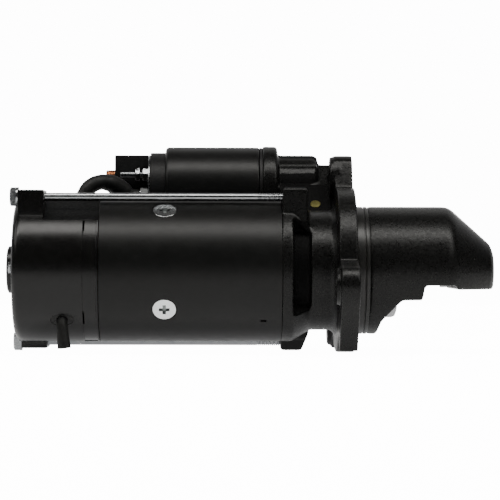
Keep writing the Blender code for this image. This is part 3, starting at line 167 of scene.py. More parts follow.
# Solenoid and terminals
SOLENOID_LEAN = -45.8
SOLENOID_OFFSET = 94.0
CAN_RADIUS = 35.2
CAN_FRONT = -74.0
CAN_REAR = -149.8
SEAT_REAR = -71.7
SEAT_FRONT = -60.0
HOOD_RADIUS = 28.7
HOOD_END = -26.0
RIB_LEAN = 48.0
CAN_BORE = 31.8
CAP_RIM = 31.45
CAP_RADIUS = 30.6
CAP_END = -163.6
PLATE_END = -165.15
BATTERY_STUD = (15.2, 11.8)
MOTOR_STUD = (-14.4, -5.5)
TRIGGER_STUD = (-2.8, 12.5)
MOTOR_REACH = 19.0
TRIGGER_RADIUS = 2.7
TRIGGER_FLATS = 10.0

HERE = Matrix.Identity(4)
OUTWARD = Matrix.Rotation(-pi / 2, 4, "Y")
ACROSS = Matrix.Rotation(pi / 2, 4, "Z")


def at(x=0.0, y=0.0, z=0.0):
    """Place shifted by millimetres."""
    return Matrix.Translation(Vector((x, y, z)) * MM)


def leaned(lean, offset=0.0, x=0.0):
    """Place turned about the shaft so that local Z points along the lean, offset out along it."""
    return Matrix.Rotation(radians(lean), 4, "X") @ at(x, 0.0, offset)


SOLENOID = leaned(SOLENOID_LEAN, SOLENOID_OFFSET)


def upward(lean):
    """Direction of a lean."""
    return leaned(lean).to_3x3() @ Vector((0.0, 0.0, 1.0))


def terminal(stud):
    """Place on a terminal stud's axis, from its offset to the solenoid axis."""
    centre = SOLENOID.translation / MM
    return at(0.0, centre.y + stud[0], centre.z + stud[1])


# Outlines
def arc(centre, radius, start, end, count):
    """Points on a circle from one angle to another in degrees."""
    angles = [radians(start + (end - start) * k / (count - 1)) for k in range(count)]
    return [(centre[0] + radius * cos(a), centre[1] + radius * sin(a)) for a in angles]


def soften(points, radius, steps=4):
    """Closed outline with its corners rounded. A corner's third value is a radius of its own, and points
    on the second axis's zero stay sharp."""
    result = []
    for k, corner in enumerate(points):
        here = Vector(corner[:2])
        back = Vector(points[k - 1][:2]) - here
        ahead = Vector(points[(k + 1) % len(points)][:2]) - here
        flat = back.length < 1e-6 or ahead.length < 1e-6 or back.angle(ahead) > radians(170)
        if corner[1] == 0.0 or flat:
            result.append(corner[:2])
            continue
        wanted = corner[2] if len(corner) > 2 else radius
        reach = min(wanted / tan(back.angle(ahead) / 2), 0.48 * back.length, 0.48 * ahead.length)
        first = here + back.normalized() * reach
        last = here + ahead.normalized() * reach
        for step in range(steps + 1):
            t = step / steps
            point = first * (1 - t) ** 2 + here * 2 * t * (1 - t) + last * t ** 2
            result.append((point.x, point.y))
    return result


def rod(low, high, radius):
    """Closed profile of a plain cylinder, for turning."""
    return [(low, 0.0), (low, radius), (high, radius), (high, 0.0)]


def sector(outer, inner, start, end, count):
    """Outline of a part of a ring between two angles in degrees."""
    return arc((0.0, 0.0), outer, start, end, count) + arc((0.0, 0.0), inner, end, start, count)


def oval(radius):
    """Outline of the drain tube's oval seat."""
    return (arc((OVAL_HALF, 0.0), radius, -90.0, 90.0, 20)
            + arc((-OVAL_HALF, 0.0), radius, 90.0, 270.0, 20))


def hexagon(flats, turn):
    """Six-sided outline from its width across flats."""
    return arc((0.0, 0.0), flats / 2 / cos(pi / 6), turn, turn + 300.0, 6)


def flange_outline():
    """Flange plate outline: the furthest reach of disc, ears and straight lower front edge, softened."""
    ears = []
    for lean, radius in zip(EAR_LEANS, EAR_RADII):
        angle = radians(90.0 + lean)
        ears.append((BOLT_CIRCLE * cos(angle), BOLT_CIRCLE * sin(angle), angle, radius))
    front = ears[1]
    corner = (-FLANGE_CORNER, -FLANGE_BOTTOM)
    reach = hypot(front[0] - corner[0], front[1] - corner[1])
    normal = atan2(front[1] - corner[1], front[0] - corner[0]) + asin(front[3] / reach) + pi / 2
    edge = corner[0] * cos(normal) + corner[1] * sin(normal)
    start = atan2(front[1] + front[3] * sin(normal), front[0] + front[3] * cos(normal))
    span = (atan2(corner[1], corner[0]) - start) % (2 * pi)
    reaches = []
    for k in range(360):
        angle = radians(k)
        far = FLANGE_RADIUS
        for *_, lean, radius in ears:
            off = BOLT_CIRCLE * sin(angle - lean)
            along = BOLT_CIRCLE * cos(angle - lean)
            if along > 0.0 and abs(off) < radius:
                far = max(far, along + (radius ** 2 - off ** 2) ** 0.5)
        facing = cos(angle - normal)
        if (angle - start) % (2 * pi) < span and facing > 0.2:
            far = max(far, edge / facing)
        if sin(angle) < -0.2:
            far = min(far, FLANGE_BOTTOM / -sin(angle))
        reaches.append(far)
    points = []
    for k in range(360):
        far = sum(reaches[(k + shift) % 360] for shift in (-2, -1, 0, 1, 2)) / 5
        points.append((far * cos(radians(k)), far * sin(radians(k))))
    return points


# Meshes
def mesh_piece(name, data, place=HERE):
    """Object from bmesh data, standing at a place until it is settled."""
    bmesh.ops.recalc_face_normals(data, faces=data.faces[:])
    mesh = bpy.data.meshes.new(name)
    data.to_mesh(mesh)
    data.free()
    piece = bpy.data.objects.new(name, mesh)
    bpy.context.scene.collection.objects.link(piece)
    piece.rotation_mode = "QUATERNION"
    piece.matrix_world = place
    return piece


def turned(name, profile, sides=ROUND, place=HERE):
    """Body of revolution about local X from a closed profile of (x, radius) points."""
    data = bmesh.new()
    points = [data.verts.new((x * MM, 0.0, radius * MM)) for x, radius in profile]
    for first, second in zip(points, points[1:] + points[:1]):
        if first.co.z > 0.0 or second.co.z > 0.0:
            data.edges.new((first, second))
    bmesh.ops.spin(data, geom=data.verts[:] + data.edges[:], axis=(1, 0, 0), cent=(0, 0, 0), angle=2 * pi,
                   steps=sides, use_merge=True)
    bmesh.ops.remove_doubles(data, verts=data.verts[:], dist=1e-7)
    return mesh_piece(name, data, place)


def prism(name, outline, low, high, along="X", place=HERE):
    """Outline pushed from low to high along one axis; its points are the other two axes in order."""
    data = bmesh.new()
    order = {"X": lambda a, b: (low, a, b), "Y": lambda a, b: (a, low, b),
             "Z": lambda a, b: (a, b, low)}[along]
    step = {"X": (1, 0, 0), "Y": (0, 1, 0), "Z": (0, 0, 1)}[along]
    face = data.faces.new([data.verts.new(Vector(order(a, b)) * MM) for a, b in outline])
    pushed = bmesh.ops.extrude_face_region(data, geom=[face])
    moved = [item for item in pushed["geom"] if isinstance(item, bmesh.types.BMVert)]
    bmesh.ops.translate(data, verts=moved, vec=Vector(step) * (high - low) * MM)
    return mesh_piece(name, data, place)


def block(name, low, high, place=HERE):
    """Box between two corners."""
    outline = [(low[1], low[2]), (high[1], low[2]), (high[1], high[2]), (low[1], high[2])]
    return prism(name, outline, low[0], high[0], "X", place)


def swept(name, path, radii, sides=32, steps=12):
    """Round tube through a smooth path, with a radius at each of its points and flat ends."""
    curve = bpy.data.curves.new(name, "CURVE")
    curve.dimensions = "3D"
    curve.bevel_depth = MM
    curve.bevel_resolution = (sides - 4) // 2
    curve.use_fill_caps = True
    curve.resolution_u = steps
    spline = curve.splines.new("BEZIER")
    spline.bezier_points.add(len(path) - 1)
    for knot, point, radius in zip(spline.bezier_points, path, radii):
        knot.co = Vector(point) * MM
        knot.radius = radius
        knot.handle_left_type = "AUTO"
        knot.handle_right_type = "AUTO"
    guide = bpy.data.objects.new(name, curve)
    bpy.context.scene.collection.objects.link(guide)
    data = bmesh.new()
    data.from_mesh(guide.to_mesh())
    bmesh.ops.remove_doubles(data, verts=data.verts[:], dist=1e-6)
    guide.to_mesh_clear()
    bpy.data.objects.remove(guide)
    return mesh_piece(name, data)


def combine(operation, target, tools):
    """Add one exact Boolean to the target for each tool."""
    for tool in tools:
        modifier = target.modifiers.new(tool.name, "BOOLEAN")
        modifier.operation = operation
        modifier.solver = "EXACT"
        modifier.object = tool
        tool.hide_render = True
    return target


def cut(target, *tools):
    """Take the tools away from the target."""
    return combine("DIFFERENCE", target, tools)


def join(target, *tools):
    """Add the tools to the target."""
    return combine("UNION", target, tools)


def bevel(piece, width, segments=3):
    """Round the sharp edges."""
    modifier = piece.modifiers.new("rounded edges", "BEVEL")
    modifier.width = width * MM
    modifier.segments = segments
    modifier.limit_method = "ANGLE"
    modifier.angle_limit = radians(35)
    return piece


def drop(piece):
    """Remove a Boolean tool and the tools that it uses."""
    for modifier in piece.modifiers:
        if modifier.type == "BOOLEAN" and modifier.object:
            drop(modifier.object)
    bpy.data.objects.remove(piece)


def settle(piece, sharp=35.0, place=HERE):
    """Turn modifiers and place into plain mesh at the origin, shaded smooth up to an angle."""
    bpy.context.view_layer.update()
    graph = bpy.context.evaluated_depsgraph_get()
    mesh = bpy.data.meshes.new_from_object(piece.evaluated_get(graph), depsgraph=graph)
    mesh.transform(place @ piece.matrix_world)
    tools = [m.object for m in piece.modifiers if m.type == "BOOLEAN"]
    piece.modifiers.clear()
    piece.data = mesh
    piece.matrix_world = HERE
    for tool in tools:
        drop(tool)
    mesh.shade_smooth()
    mesh.set_sharp_from_angle(angle=radians(sharp))
    return piece


# Finishes
def finish(name, dark, light, metal, rough, patch=70.0, grain=1200.0, depth=0.0, specular=0.5, lumps=0.0):
    """Node material: patchy colour and roughness, with fine grain and coarser lumps as bump."""
    material = bpy.data.materials.new(name)
    material.use_nodes = True
    nodes = material.node_tree.nodes
    links = material.node_tree.links
    shader = nodes["Principled BSDF"]
    shader.inputs["Metallic"].default_value = metal
    shader.inputs["Specular IOR Level"].default_value = specular
    place = nodes.new("ShaderNodeTexCoord").outputs["Object"]

    def clouds(scale, detail):
        """Value of a noise texture over the piece."""
        texture = nodes.new("ShaderNodeTexNoise")
        texture.inputs["Scale"].default_value = scale
        texture.inputs["Detail"].default_value = detail
        links.new(place, texture.inputs["Vector"])
        return texture.outputs["Fac"]

    patches = clouds(patch, 5.0)
    tint = nodes.new("ShaderNodeMix")
    tint.data_type = "RGBA"
    tint.inputs["A"].default_value = (*dark, 1.0)
    tint.inputs["B"].default_value = (*light, 1.0)
    links.new(patches, tint.inputs["Factor"])
    links.new(tint.outputs["Result"], shader.inputs["Base Color"])
    sheen = nodes.new("ShaderNodeMapRange")
    sheen.inputs["From Min"].default_value = 0.3
    sheen.inputs["From Max"].default_value = 0.7
    sheen.inputs["To Min"].default_value = rough[0]
    sheen.inputs["To Max"].default_value = rough[1]
    links.new(clouds(patch * 3.1, 4.0), sheen.inputs["Value"])
    links.new(sheen.outputs["Result"], shader.inputs["Roughness"])
    normal = None
    for scale, height in ((grain / 3.2, lumps), (grain, depth)):
        if height == 0.0:
            continue
        bump = nodes.new("ShaderNodeBump")
        bump.inputs["Strength"].default_value = 1.0
        bump.inputs["Distance"].default_value = height * MM
        links.new(clouds(scale, 3.0), bump.inputs["Height"])
        if normal is not None:
            links.new(normal, bump.inputs["Normal"])
        normal = bump.outputs["Normal"]
    if normal is not None:
        links.new(normal, shader.inputs["Normal"])
    return material


cast_paint = finish("cast iron in black paint", (0.0028, 0.0028, 0.0027), (0.006, 0.006, 0.0057), 0.0,
                    (0.24, 0.40), patch=150.0, grain=1000.0, depth=0.030, specular=0.19, lumps=0.15)
# Painted shade: a darker, duller black put on the side recess, the lever box wall and the flats beside the
# through bolts.
shade_paint = finish("thin black paint in deep cast pockets", (0.0015, 0.0015, 0.0015),
                    (0.003, 0.003, 0.003), 0.0, (0.55, 0.70),
                    patch=150.0, grain=1500.0, depth=0.05, specular=0.06)
satin_paint = finish("satin black paint", (0.003, 0.003, 0.0029), (0.005, 0.005, 0.0048), 0.0, (0.33, 0.39),
                     patch=45.0, grain=2600.0, depth=0.004, specular=0.22)
gloss_paint = finish("semi-gloss black paint", (0.003, 0.003, 0.003), (0.0045, 0.0045, 0.0044), 0.0,
                     (0.21, 0.27), patch=50.0, grain=700.0, depth=0.008, specular=0.28)
machined_paint = finish("black paint on machined iron", (0.010, 0.010, 0.0095), (0.016, 0.016, 0.015), 0.0,
                        (0.28, 0.34), patch=80.0, grain=3000.0, depth=0.006, specular=0.34)
black_plastic = finish("black moulded plastic", (0.0035, 0.0035, 0.0038), (0.006, 0.006, 0.0063), 0.0,
                       (0.42, 0.52), patch=90.0, grain=3000.0, depth=0.008, specular=0.2)
black_rubber = finish("black rubber", (0.004, 0.004, 0.004), (0.008, 0.008, 0.0077), 0.0, (0.42, 0.56),
                      patch=110.0, grain=2200.0, depth=0.012, specular=0.24)
bright_zinc = finish("bright zinc", (0.66, 0.69, 0.71), (0.80, 0.81, 0.80), 1.0, (0.16, 0.26), patch=260.0)
zinc = finish("dull zinc", (0.27, 0.285, 0.30), (0.40, 0.405, 0.41), 1.0, (0.18, 0.28), patch=220.0)
# Painted shade: darker, duller zinc put in the pole screws' cross recesses.
recess_shade_zinc = finish("zinc in a driver recess", (0.16, 0.175, 0.175), (0.27, 0.285, 0.28), 1.0,
                   (0.35, 0.50), patch=300.0)
# Darker zinc: painted shade on the lower side of the trigger stud and its nuts; the battery and motor nuts
# are in it all over.
darker_zinc = finish("zinc under old oil", (0.03, 0.031, 0.032), (0.06, 0.061, 0.062), 1.0,
                   (0.30, 0.42), patch=240.0)
yellow_zinc = finish("yellow passivated zinc", (0.075, 0.068, 0.02), (0.16, 0.145, 0.055), 1.0,
                     (0.30, 0.46), patch=420.0, grain=3000.0, depth=0.01)
bright_steel = finish("turned steel", (0.42, 0.42, 0.43), (0.58, 0.58, 0.57), 1.0,
                      (0.24, 0.38), patch=160.0)
core_steel = finish("laminated core steel", (0.20, 0.20, 0.21), (0.33, 0.32, 0.31), 1.0,
                    (0.40, 0.55), patch=140.0)
copper = finish("bare copper", (0.27, 0.09, 0.035), (0.46, 0.18, 0.085), 1.0, (0.28, 0.46), patch=240.0)
carbon = finish("brush carbon", (0.03, 0.03, 0.03), (0.07, 0.065, 0.06), 0.0, (0.50, 0.65), patch=300.0)
bronze = finish("sintered bronze", (0.38, 0.25, 0.12), (0.55, 0.40, 0.22), 1.0, (0.42, 0.58), patch=300.0)
varnish = finish("varnished coil", (0.20, 0.06, 0.02), (0.36, 0.14, 0.06), 0.0, (0.25, 0.40),
                 patch=150.0, grain=900.0, depth=0.05)

finishes = {
    "black cast iron": cast_paint, "black painted steel": satin_paint,
    "black painted aluminium": gloss_paint, "black moulded plastic": black_plastic,
    "black rubber": black_rubber, "zinc plated steel": zinc, "yellow zinc plated steel": yellow_zinc,
    "machined steel": bright_steel, "laminated core steel": core_steel, "copper": copper,
    "brush carbon": carbon, "sintered bronze": bronze, "varnished coil": varnish,
}
for entry in frame["record"]["subparts"]:
    data = frame["nodes"][entry["node"]].data
    data.materials.clear()
    data.materials.append(finishes[entry["material_slot"]])


def fit(piece, slot, *nodes, body="housing", material=None):
    """Give a settled piece its finish, its body and the CAD nodes that it stands for."""
    piece.data.materials.clear()
    piece.data.materials.append(material or finishes[slot])
    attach(piece, body)
    if nodes:
        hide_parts(*nodes)
    return piece


def paint_shade_on(piece, material, test):
    """Give the faces whose middle, in millimetres, passes a test a further, darker finish: painted shade.
    """
    piece.data.materials.append(material)
    second = len(piece.data.materials) - 1
    for face in piece.data.polygons:
        if test(face.center / MM):
            face.material_index = second


def carried(name, node, slot, body):
    """Smoothly shaded copy of a CAD mesh, for a piece whose form is already complete."""
    source = frame["nodes"][node]
    data = bmesh.new()
    data.from_mesh(source.data)
    bmesh.ops.transform(data, matrix=source.matrix_world, verts=data.verts[:])
    bmesh.ops.remove_doubles(data, verts=data.verts[:], dist=1e-6)
    return fit(settle(mesh_piece(name, data)), slot, node, body=body)


# Geometry node trees
def tree(name, sockets):
    """Empty node tree with geometry in and out and the given named inputs."""
    group = bpy.data.node_groups.new(name, "GeometryNodeTree")
    group.interface.new_socket("Geometry", in_out="INPUT", socket_type="NodeSocketGeometry")
    for label, kind in sockets:
        group.interface.new_socket(label, in_out="INPUT", socket_type=kind)
    group.interface.new_socket("Geometry", in_out="OUTPUT", socket_type="NodeSocketGeometry")
    return group, group.nodes.new("NodeGroupInput"), group.nodes.new("NodeGroupOutput")


def ring_tree():
    """Copies of one mesh set at equal steps round the shaft axis."""
    group, source, result = tree("ring of copies", [
        ("Copies", "NodeSocketInt"), ("First Angle", "NodeSocketFloat"),
        ("Material", "NodeSocketMaterial")])
    make, link = group.nodes.new, group.links.new
    spots = make("GeometryNodePoints")
    index = make("GeometryNodeInputIndex")
    share = make("ShaderNodeMath")
    share.operation = "DIVIDE"
    share.inputs[0].default_value = 2 * pi
    angle = make("ShaderNodeMath")
    angle.operation = "MULTIPLY_ADD"
    turn = make("ShaderNodeCombineXYZ")
    place = make("GeometryNodeInstanceOnPoints")
    real = make("GeometryNodeRealizeInstances")
    coat = make("GeometryNodeSetMaterial")
    link(source.outputs["Copies"], spots.inputs["Count"])
    link(source.outputs["Copies"], share.inputs[1])
    link(index.outputs[0], angle.inputs[0])
    link(share.outputs[0], angle.inputs[1])
    link(source.outputs["First Angle"], angle.inputs[2])
    link(angle.outputs[0], turn.inputs["X"])
    link(spots.outputs[0], place.inputs["Points"])
    link(source.outputs["Geometry"], place.inputs["Instance"])
    link(turn.outputs[0], place.inputs["Rotation"])
    link(place.outputs[0], real.inputs[0])
    link(real.outputs[0], coat.inputs["Geometry"])
    link(source.outputs["Material"], coat.inputs["Material"])
    link(coat.outputs[0], result.inputs[0])
    return group


def thread_tree():
    """Screw thread wound along local X on the piece's own mesh."""
    group, source, result = tree("screw thread", [
        ("Start", "NodeSocketFloat"), ("Length", "NodeSocketFloat"), ("Radius", "NodeSocketFloat"),
        ("Pitch", "NodeSocketFloat"), ("Ridge", "NodeSocketFloat"), ("Material", "NodeSocketMaterial")])
    make, link = group.nodes.new, group.links.new
    turns = make("ShaderNodeMath")
    turns.operation = "DIVIDE"
    helix = make("GeometryNodeCurveSpiral")
    helix.inputs["Resolution"].default_value = 24
    ridge = make("GeometryNodeCurvePrimitiveCircle")
    ridge.inputs["Resolution"].default_value = 6
    wound = make("GeometryNodeCurveToMesh")
    wound.inputs["Fill Caps"].default_value = True
    shift = make("ShaderNodeCombineXYZ")
    laid = make("GeometryNodeTransform")
    laid.inputs["Rotation"].default_value = (0.0, pi / 2, 0.0)
    both = make("GeometryNodeJoinGeometry")
    real = make("GeometryNodeRealizeInstances")
    coat = make("GeometryNodeSetMaterial")
    link(source.outputs["Length"], turns.inputs[0])
    link(source.outputs["Pitch"], turns.inputs[1])
    link(turns.outputs[0], helix.inputs["Rotations"])
    link(source.outputs["Radius"], helix.inputs["Start Radius"])
    link(source.outputs["Radius"], helix.inputs["End Radius"])
    link(source.outputs["Length"], helix.inputs["Height"])
    link(source.outputs["Ridge"], ridge.inputs["Radius"])
    link(helix.outputs[0], wound.inputs["Curve"])
    link(ridge.outputs[0], wound.inputs["Profile Curve"])
    link(source.outputs["Start"], shift.inputs["X"])
    link(wound.outputs[0], laid.inputs["Geometry"])
    link(shift.outputs[0], laid.inputs["Translation"])
    link(source.outputs["Geometry"], both.inputs[0])
    link(laid.outputs[0], both.inputs[0])
    link(both.outputs[0], real.inputs[0])
    link(real.outputs[0], coat.inputs["Geometry"])
    link(source.outputs["Material"], coat.inputs["Material"])
    link(coat.outputs[0], result.inputs[0])
    return group


RING = ring_tree()
THREAD = thread_tree()


def grow(piece, group, **values):
    """Put a node tree on a piece and set its inputs by their identifiers."""
    modifier = piece.modifiers.new(group.name, "NODES")
    modifier.node_group = group
    for item in group.interface.items_tree:
        label = item.name.lower().replace(" ", "_")
        if item.in_out == "INPUT" and label in values:
            modifier[item.identifier] = values[label]
    return piece


def threaded(piece, start, length, radius, pitch, material):
    """Add a screw thread along the piece's local X, in millimetres."""
    return grow(piece, THREAD, start=start * MM, length=length * MM, radius=(radius - 0.12 * pitch) * MM,
                pitch=pitch * MM, ridge=0.36 * pitch * MM, material=material)


def ringed(piece, copies, material, first_angle=0.0):
    """Repeat the piece round the shaft axis."""
    return grow(piece, RING, copies=copies, first_angle=radians(first_angle), material=material)


# Drive end housing: one casting with soft edges, and the machined pilot as a crisp ring on it
housing = turned("housing_casting", soften([
    (HOUSING_REAR, 0.0), (HOUSING_REAR, YOKE_RADIUS), (RING_FRONT, YOKE_RADIUS), (NECK_REAR, NECK_RADIUS),
    (NECK_FRONT, NECK_RADIUS), (-FLANGE_THICK, NECK_RADIUS + 4.4), (-7.2, NECK_RADIUS + 4.4),
    (-7.2, PILOT_SEAT), (PILOT_LENGTH + 3.6, PILOT_SEAT), (PILOT_LENGTH + 4.5, NOSE_RADIUS),
    (NOSE_SHOULDER + 1.8, NOSE_RADIUS, 13.0), (NOSE_LENGTH - 2.6, NOSE_TIP_RADIUS + 2.2, 8.0),
    (NOSE_LENGTH, NOSE_TIP_RADIUS - 4.0), (NOSE_LENGTH, 0.0)], 2.0, 6), FINE)
recess = sector(66.0, RECESS_FLOOR, RECESS_START, RECESS_STOP, 30)
cut(housing, prism("side recess", recess, RING_FRONT + 0.3, NECK_REAR - 0.4))
join(housing, prism("flange plate", flange_outline(), -FLANGE_THICK, 0.0))
for lean, reach in zip(EAR_LEANS, BOSS_RADII):
    boss = [(-FLANGE_THICK - BOSS_HEIGHT, 0.0), (-FLANGE_THICK - BOSS_HEIGHT, reach),
            (-10.0, reach + 0.6), (-10.0, 0.0)]
    join(housing, turned("flange boss", boss, SMALL, leaned(lean, BOLT_CIRCLE)))
bolt_y = -BOLT_OFFSET * sin(radians(BOLT_LEAN))
bolt_z = BOLT_OFFSET * cos(radians(BOLT_LEAN))
lug_top = bolt_z + 7.2
for turn, taper in zip(HALVES, LUG_TAPERS):
    side = [(LUG_REAR - taper / 2, 38.0), (LUG_REAR, lug_top), (LUG_FRONT - taper, lug_top),
            (LUG_FRONT + taper, 50.0), (NECK_REAR - 1.2, 27.0), (RING_FRONT + 1.0, 41.0)]
    join(housing, prism("bolt lug", soften(side, 1.6), bolt_y - 15.8, bolt_y + 12.0, "Y", leaned(turn)))
cut(housing, block("lug draft", (LUG_REAR - 2.0, -40.0, -30.0), (NECK_REAR, 0.0, 0.0),
                   at(0.0, 8.6, -54.6) @ leaned(LUG_DRAFT)))
join(housing,
     turned("solenoid seat", soften([
         (SEAT_REAR, 0.0), (SEAT_REAR, CAN_RADIUS + 0.8), (SEAT_FRONT - 0.8, CAN_RADIUS + 0.8),
         (SEAT_FRONT + 0.8, CAN_RADIUS - 0.8), (SEAT_FRONT + 1.0, HOOD_RADIUS),
         (HOOD_END - 4.0, HOOD_RADIUS), (HOOD_END - 1.0, HOOD_RADIUS - 1.2), (HOOD_END, HOOD_RADIUS - 4.0),
         (HOOD_END, 0.0)], 1.4), ROUND, SOLENOID),
     block("lever box", (HOUSING_REAR + 0.8, -25.5, 30.0), (NECK_FRONT + 2.0, 25.5, 74.0),
           leaned(SOLENOID_LEAN)),
     block("hood web", (HOOD_END - 6.0, -22.5, 44.0), (-FLANGE_THICK + 2.0, 19.0, SOLENOID_OFFSET + 7.2),
           leaned(SOLENOID_LEAN)))
rib_place = SOLENOID @ Matrix.Rotation(radians(RIB_LEAN - SOLENOID_LEAN), 4, "X")
join(housing, block("hood rib", (SEAT_FRONT - 1.0, -1.4, HOOD_RADIUS - 3.0),
                    (HOOD_END - 1.5, 1.4, HOOD_RADIUS + 1.1), rib_place))
room = turned("drive room", [
    (HOUSING_REAR - 1.0, 0.0), (HOUSING_REAR - 1.0, NECK_BORE), (-FLANGE_THICK, NECK_BORE),
    (-FLANGE_THICK + 4.0, NOSE_BORE), (NOSE_SHOULDER - 5.0, NOSE_BORE), (BUSH_START, 38.2),
    (BUSH_START, BUSH_SEAT), (BUSH_END, BUSH_SEAT), (BUSH_END, 0.0)], ROUND)
join(room,
     block("lever room", (NECK_REAR - 17.0, -21.3, 22.0), (-20.8, 21.3, 66.0), leaned(SOLENOID_LEAN)),
     block("lever passage", (NECK_REAR - 16.0, -14.0, 61.0), (-27.0, 14.0, 80.0), leaned(SOLENOID_LEAN)),
     turned("plunger room", rod(SEAT_REAR - 1.0, -29.47, 23.5), ROUND, SOLENOID))
cut(housing, room)
window = [(17.5, -70.0), (17.5, -50.8), (18.5, -47.0), (20.5, -40.0), (26.0, -33.5), (31.5, -27.5),
          (36.0, -23.2), (51.5, -23.0), (53.5, -11.6), (77.7, -11.6), (BUSH_START, -14.9),
          (NOSE_LENGTH + 5.0, -14.9), (NOSE_LENGTH + 5.0, -70.0)]
cut(housing, prism("gear window", window, -70.0, 70.0, "Y"))
for lean in EAR_LEANS:
    hole = rod(-30.0, 5.0, FLANGE_HOLE)
    cut(housing, turned("flange hole", hole, SMALL, leaned(lean, BOLT_CIRCLE)))
soft_edges = housing.modifiers.new("cast surface", "REMESH")
soft_edges.mode = "VOXEL"
soft_edges.voxel_size = 1.0 * MM
smoothing = housing.modifiers.new("cast edges", "SMOOTH")
smoothing.factor = 0.5
smoothing.iterations = 9
lighter = housing.modifiers.new("fewer faces", "DECIMATE")
lighter.ratio = 0.55
fit(settle(housing, 60.0), "black cast iron", "drive_end_housing")


def in_shaded_pocket(spot):
    """Whether a spot lies in the side recess, or on the lever box's wall beside the lug, which take painted
    shade.
    """
    radius = hypot(spot.y, spot.z)
    angle = degrees(atan2(spot.z, spot.y)) % 360.0
    sweep = RECESS_START - 1.0 < angle < RECESS_STOP + 1.0
    floor = RING_FRONT - 0.3 < spot.x < NECK_REAR + 0.4 and radius < NECK_RADIUS - 1.4
    ends = RING_FRONT + 1.0 < spot.x < NECK_REAR - 1.0 and radius < 55.0
    across = leaned(-SOLENOID_LEAN) @ spot
    wall = HOUSING_REAR < spot.x < -FLANGE_THICK - 1.0 and -27.2 < across.y < -23.4
    return sweep and (floor or ends) or wall and spot.z > 30.0 and radius > NECK_RADIUS + 1.6


# Painted shade: the side recess and the lever box wall beside the lug get the darker paint.
paint_shade_on(housing, shade_paint, in_shaded_pocket)

pilot = turned("pilot_ring", soften([
    (-3.0, PILOT_BORE), (-3.0, PILOT_RADIUS), (PILOT_LENGTH, PILOT_RADIUS),
    (PILOT_LENGTH, NOSE_RADIUS - 0.9), (PILOT_LENGTH + 1.0, NOSE_RADIUS - 0.9),
    (PILOT_LENGTH + 1.0, NOSE_RADIUS), (PILOT_LENGTH + 3.3, NOSE_RADIUS),
    (PILOT_LENGTH + 3.3, NOSE_RADIUS - 0.8), (PILOT_LENGTH + 5.0, NOSE_RADIUS - 0.8),
    (PILOT_LENGTH + 5.0, PILOT_BORE)], 0.4), FINE)
fit(settle(pilot), "black cast iron", material=machined_paint)

# Yoke with its pole screws
yoke = turned("yoke_tube", soften([
    (YOKE_REAR, YOKE_BORE), (YOKE_REAR, YOKE_RADIUS), (YOKE_FRONT + 0.9, YOKE_RADIUS),
    (YOKE_FRONT + 0.9, YOKE_BORE)], 0.4), 192)
for turn in QUARTERS:
    sunk = [(YOKE_BORE - 6.0, 0.0), (YOKE_BORE - 6.0, 5.4), (SCREW_TOP - 4.8, 5.4), (SCREW_TOP - 0.6, 9.6),
            (YOKE_RADIUS + 4.0, 9.6), (YOKE_RADIUS + 4.0, 0.0)]
    place = leaned(POLE_LEAN + turn, 0.0, POLE_STATION) @ OUTWARD
    cut(yoke, turned("pole screw hole", sunk, MEDIUM, place))
slot_outline = soften([(-75.1, -1.1), (-70.1, -1.1), (-70.1, 1.1), (-75.1, 1.1)], 0.9)
cut(yoke, prism("yoke slot", slot_outline, YOKE_RADIUS - 2.2, YOKE_RADIUS + 3.0, "Z", leaned(134.0)))
fit(settle(yoke), "black painted steel", "yoke")

screw = turned("pole_screws", soften([
    (43.7, 0.0), (43.7, 5.0), (SCREW_TOP - 4.8, 5.0), (SCREW_TOP - 0.6, 9.2), (SCREW_TOP, 9.2),
    (SCREW_TOP + 0.35, 0.0)], 0.35), MEDIUM)
for turn in (0.0, 90.0):
    arm = [(SCREW_TOP - 2.2, -2.6), (SCREW_TOP - 2.2, 2.6), (SCREW_TOP + 1.0, 4.7), (SCREW_TOP + 1.0, -4.7)]
    cut(screw, prism("cross recess", arm, -1.35, 1.35, "Y", Matrix.Rotation(radians(turn), 4, "X")))
settle(screw, place=at(POLE_STATION) @ OUTWARD)
settle(ringed(screw, 4, bright_zinc, POLE_LEAN))
fit(screw, "zinc plated steel", "pole_screw_1", "pole_screw_2", "pole_screw_3", "pole_screw_4",
    material=bright_zinc)


def in_recess(spot):
    """Whether a spot lies in a pole screw's cross recess, which takes painted shade."""
    height = max(spot @ upward(POLE_LEAN + turn) for turn in QUARTERS)
    aside = max(spot.y ** 2 + spot.z ** 2 - height ** 2, 0.0) ** 0.5
    off_axis = hypot(spot.x - POLE_STATION, aside)
    return SCREW_TOP - 3.0 < height < SCREW_TOP - 0.1 and off_axis < 4.4


# Painted shade: the cross recesses of the pole screws get the darker zinc.
paint_shade_on(screw, recess_shade_zinc, in_recess)

# Rear cover, band and bearing cap
flats = []
for turn in HALVES:
    flats.append(((EAR_FRONT - 0.6, -40.0, FLAT_OFFSET), (BAND_FRONT + 2.0, 40.0, 80.0),
                  leaned(BOLT_LEAN + turn)))
cover = turned("rear_cover", [(COVER_END, 0.0)]
               + arc((COVER_END + COVER_ROUND, COVER_RADIUS - COVER_ROUND), COVER_ROUND, 180.0, 90.0, 12)
               + soften([(COVER_FRONT - 4.0, COVER_RADIUS), (COVER_FRONT, COVER_RADIUS),
                         (COVER_FRONT, BAND_BORE), (COVER_FRONT - 4.0, BAND_BORE)], 0.6)[5:-5]
               + [(COVER_END + COVER_WALL, BAND_BORE), (COVER_END + COVER_WALL, 0.0)], FINE)
for low, high, place in flats:
    cut(cover, block("bolt flat", low, high, place))
for turn in HALVES:
    ear = block("cover ear", (EAR_REAR, bolt_y - 18.8, 30.0), (EAR_FRONT, bolt_y + 16.0, bolt_z + 5.2),
                leaned(turn))
    join(cover, bevel(ear, 0.9))
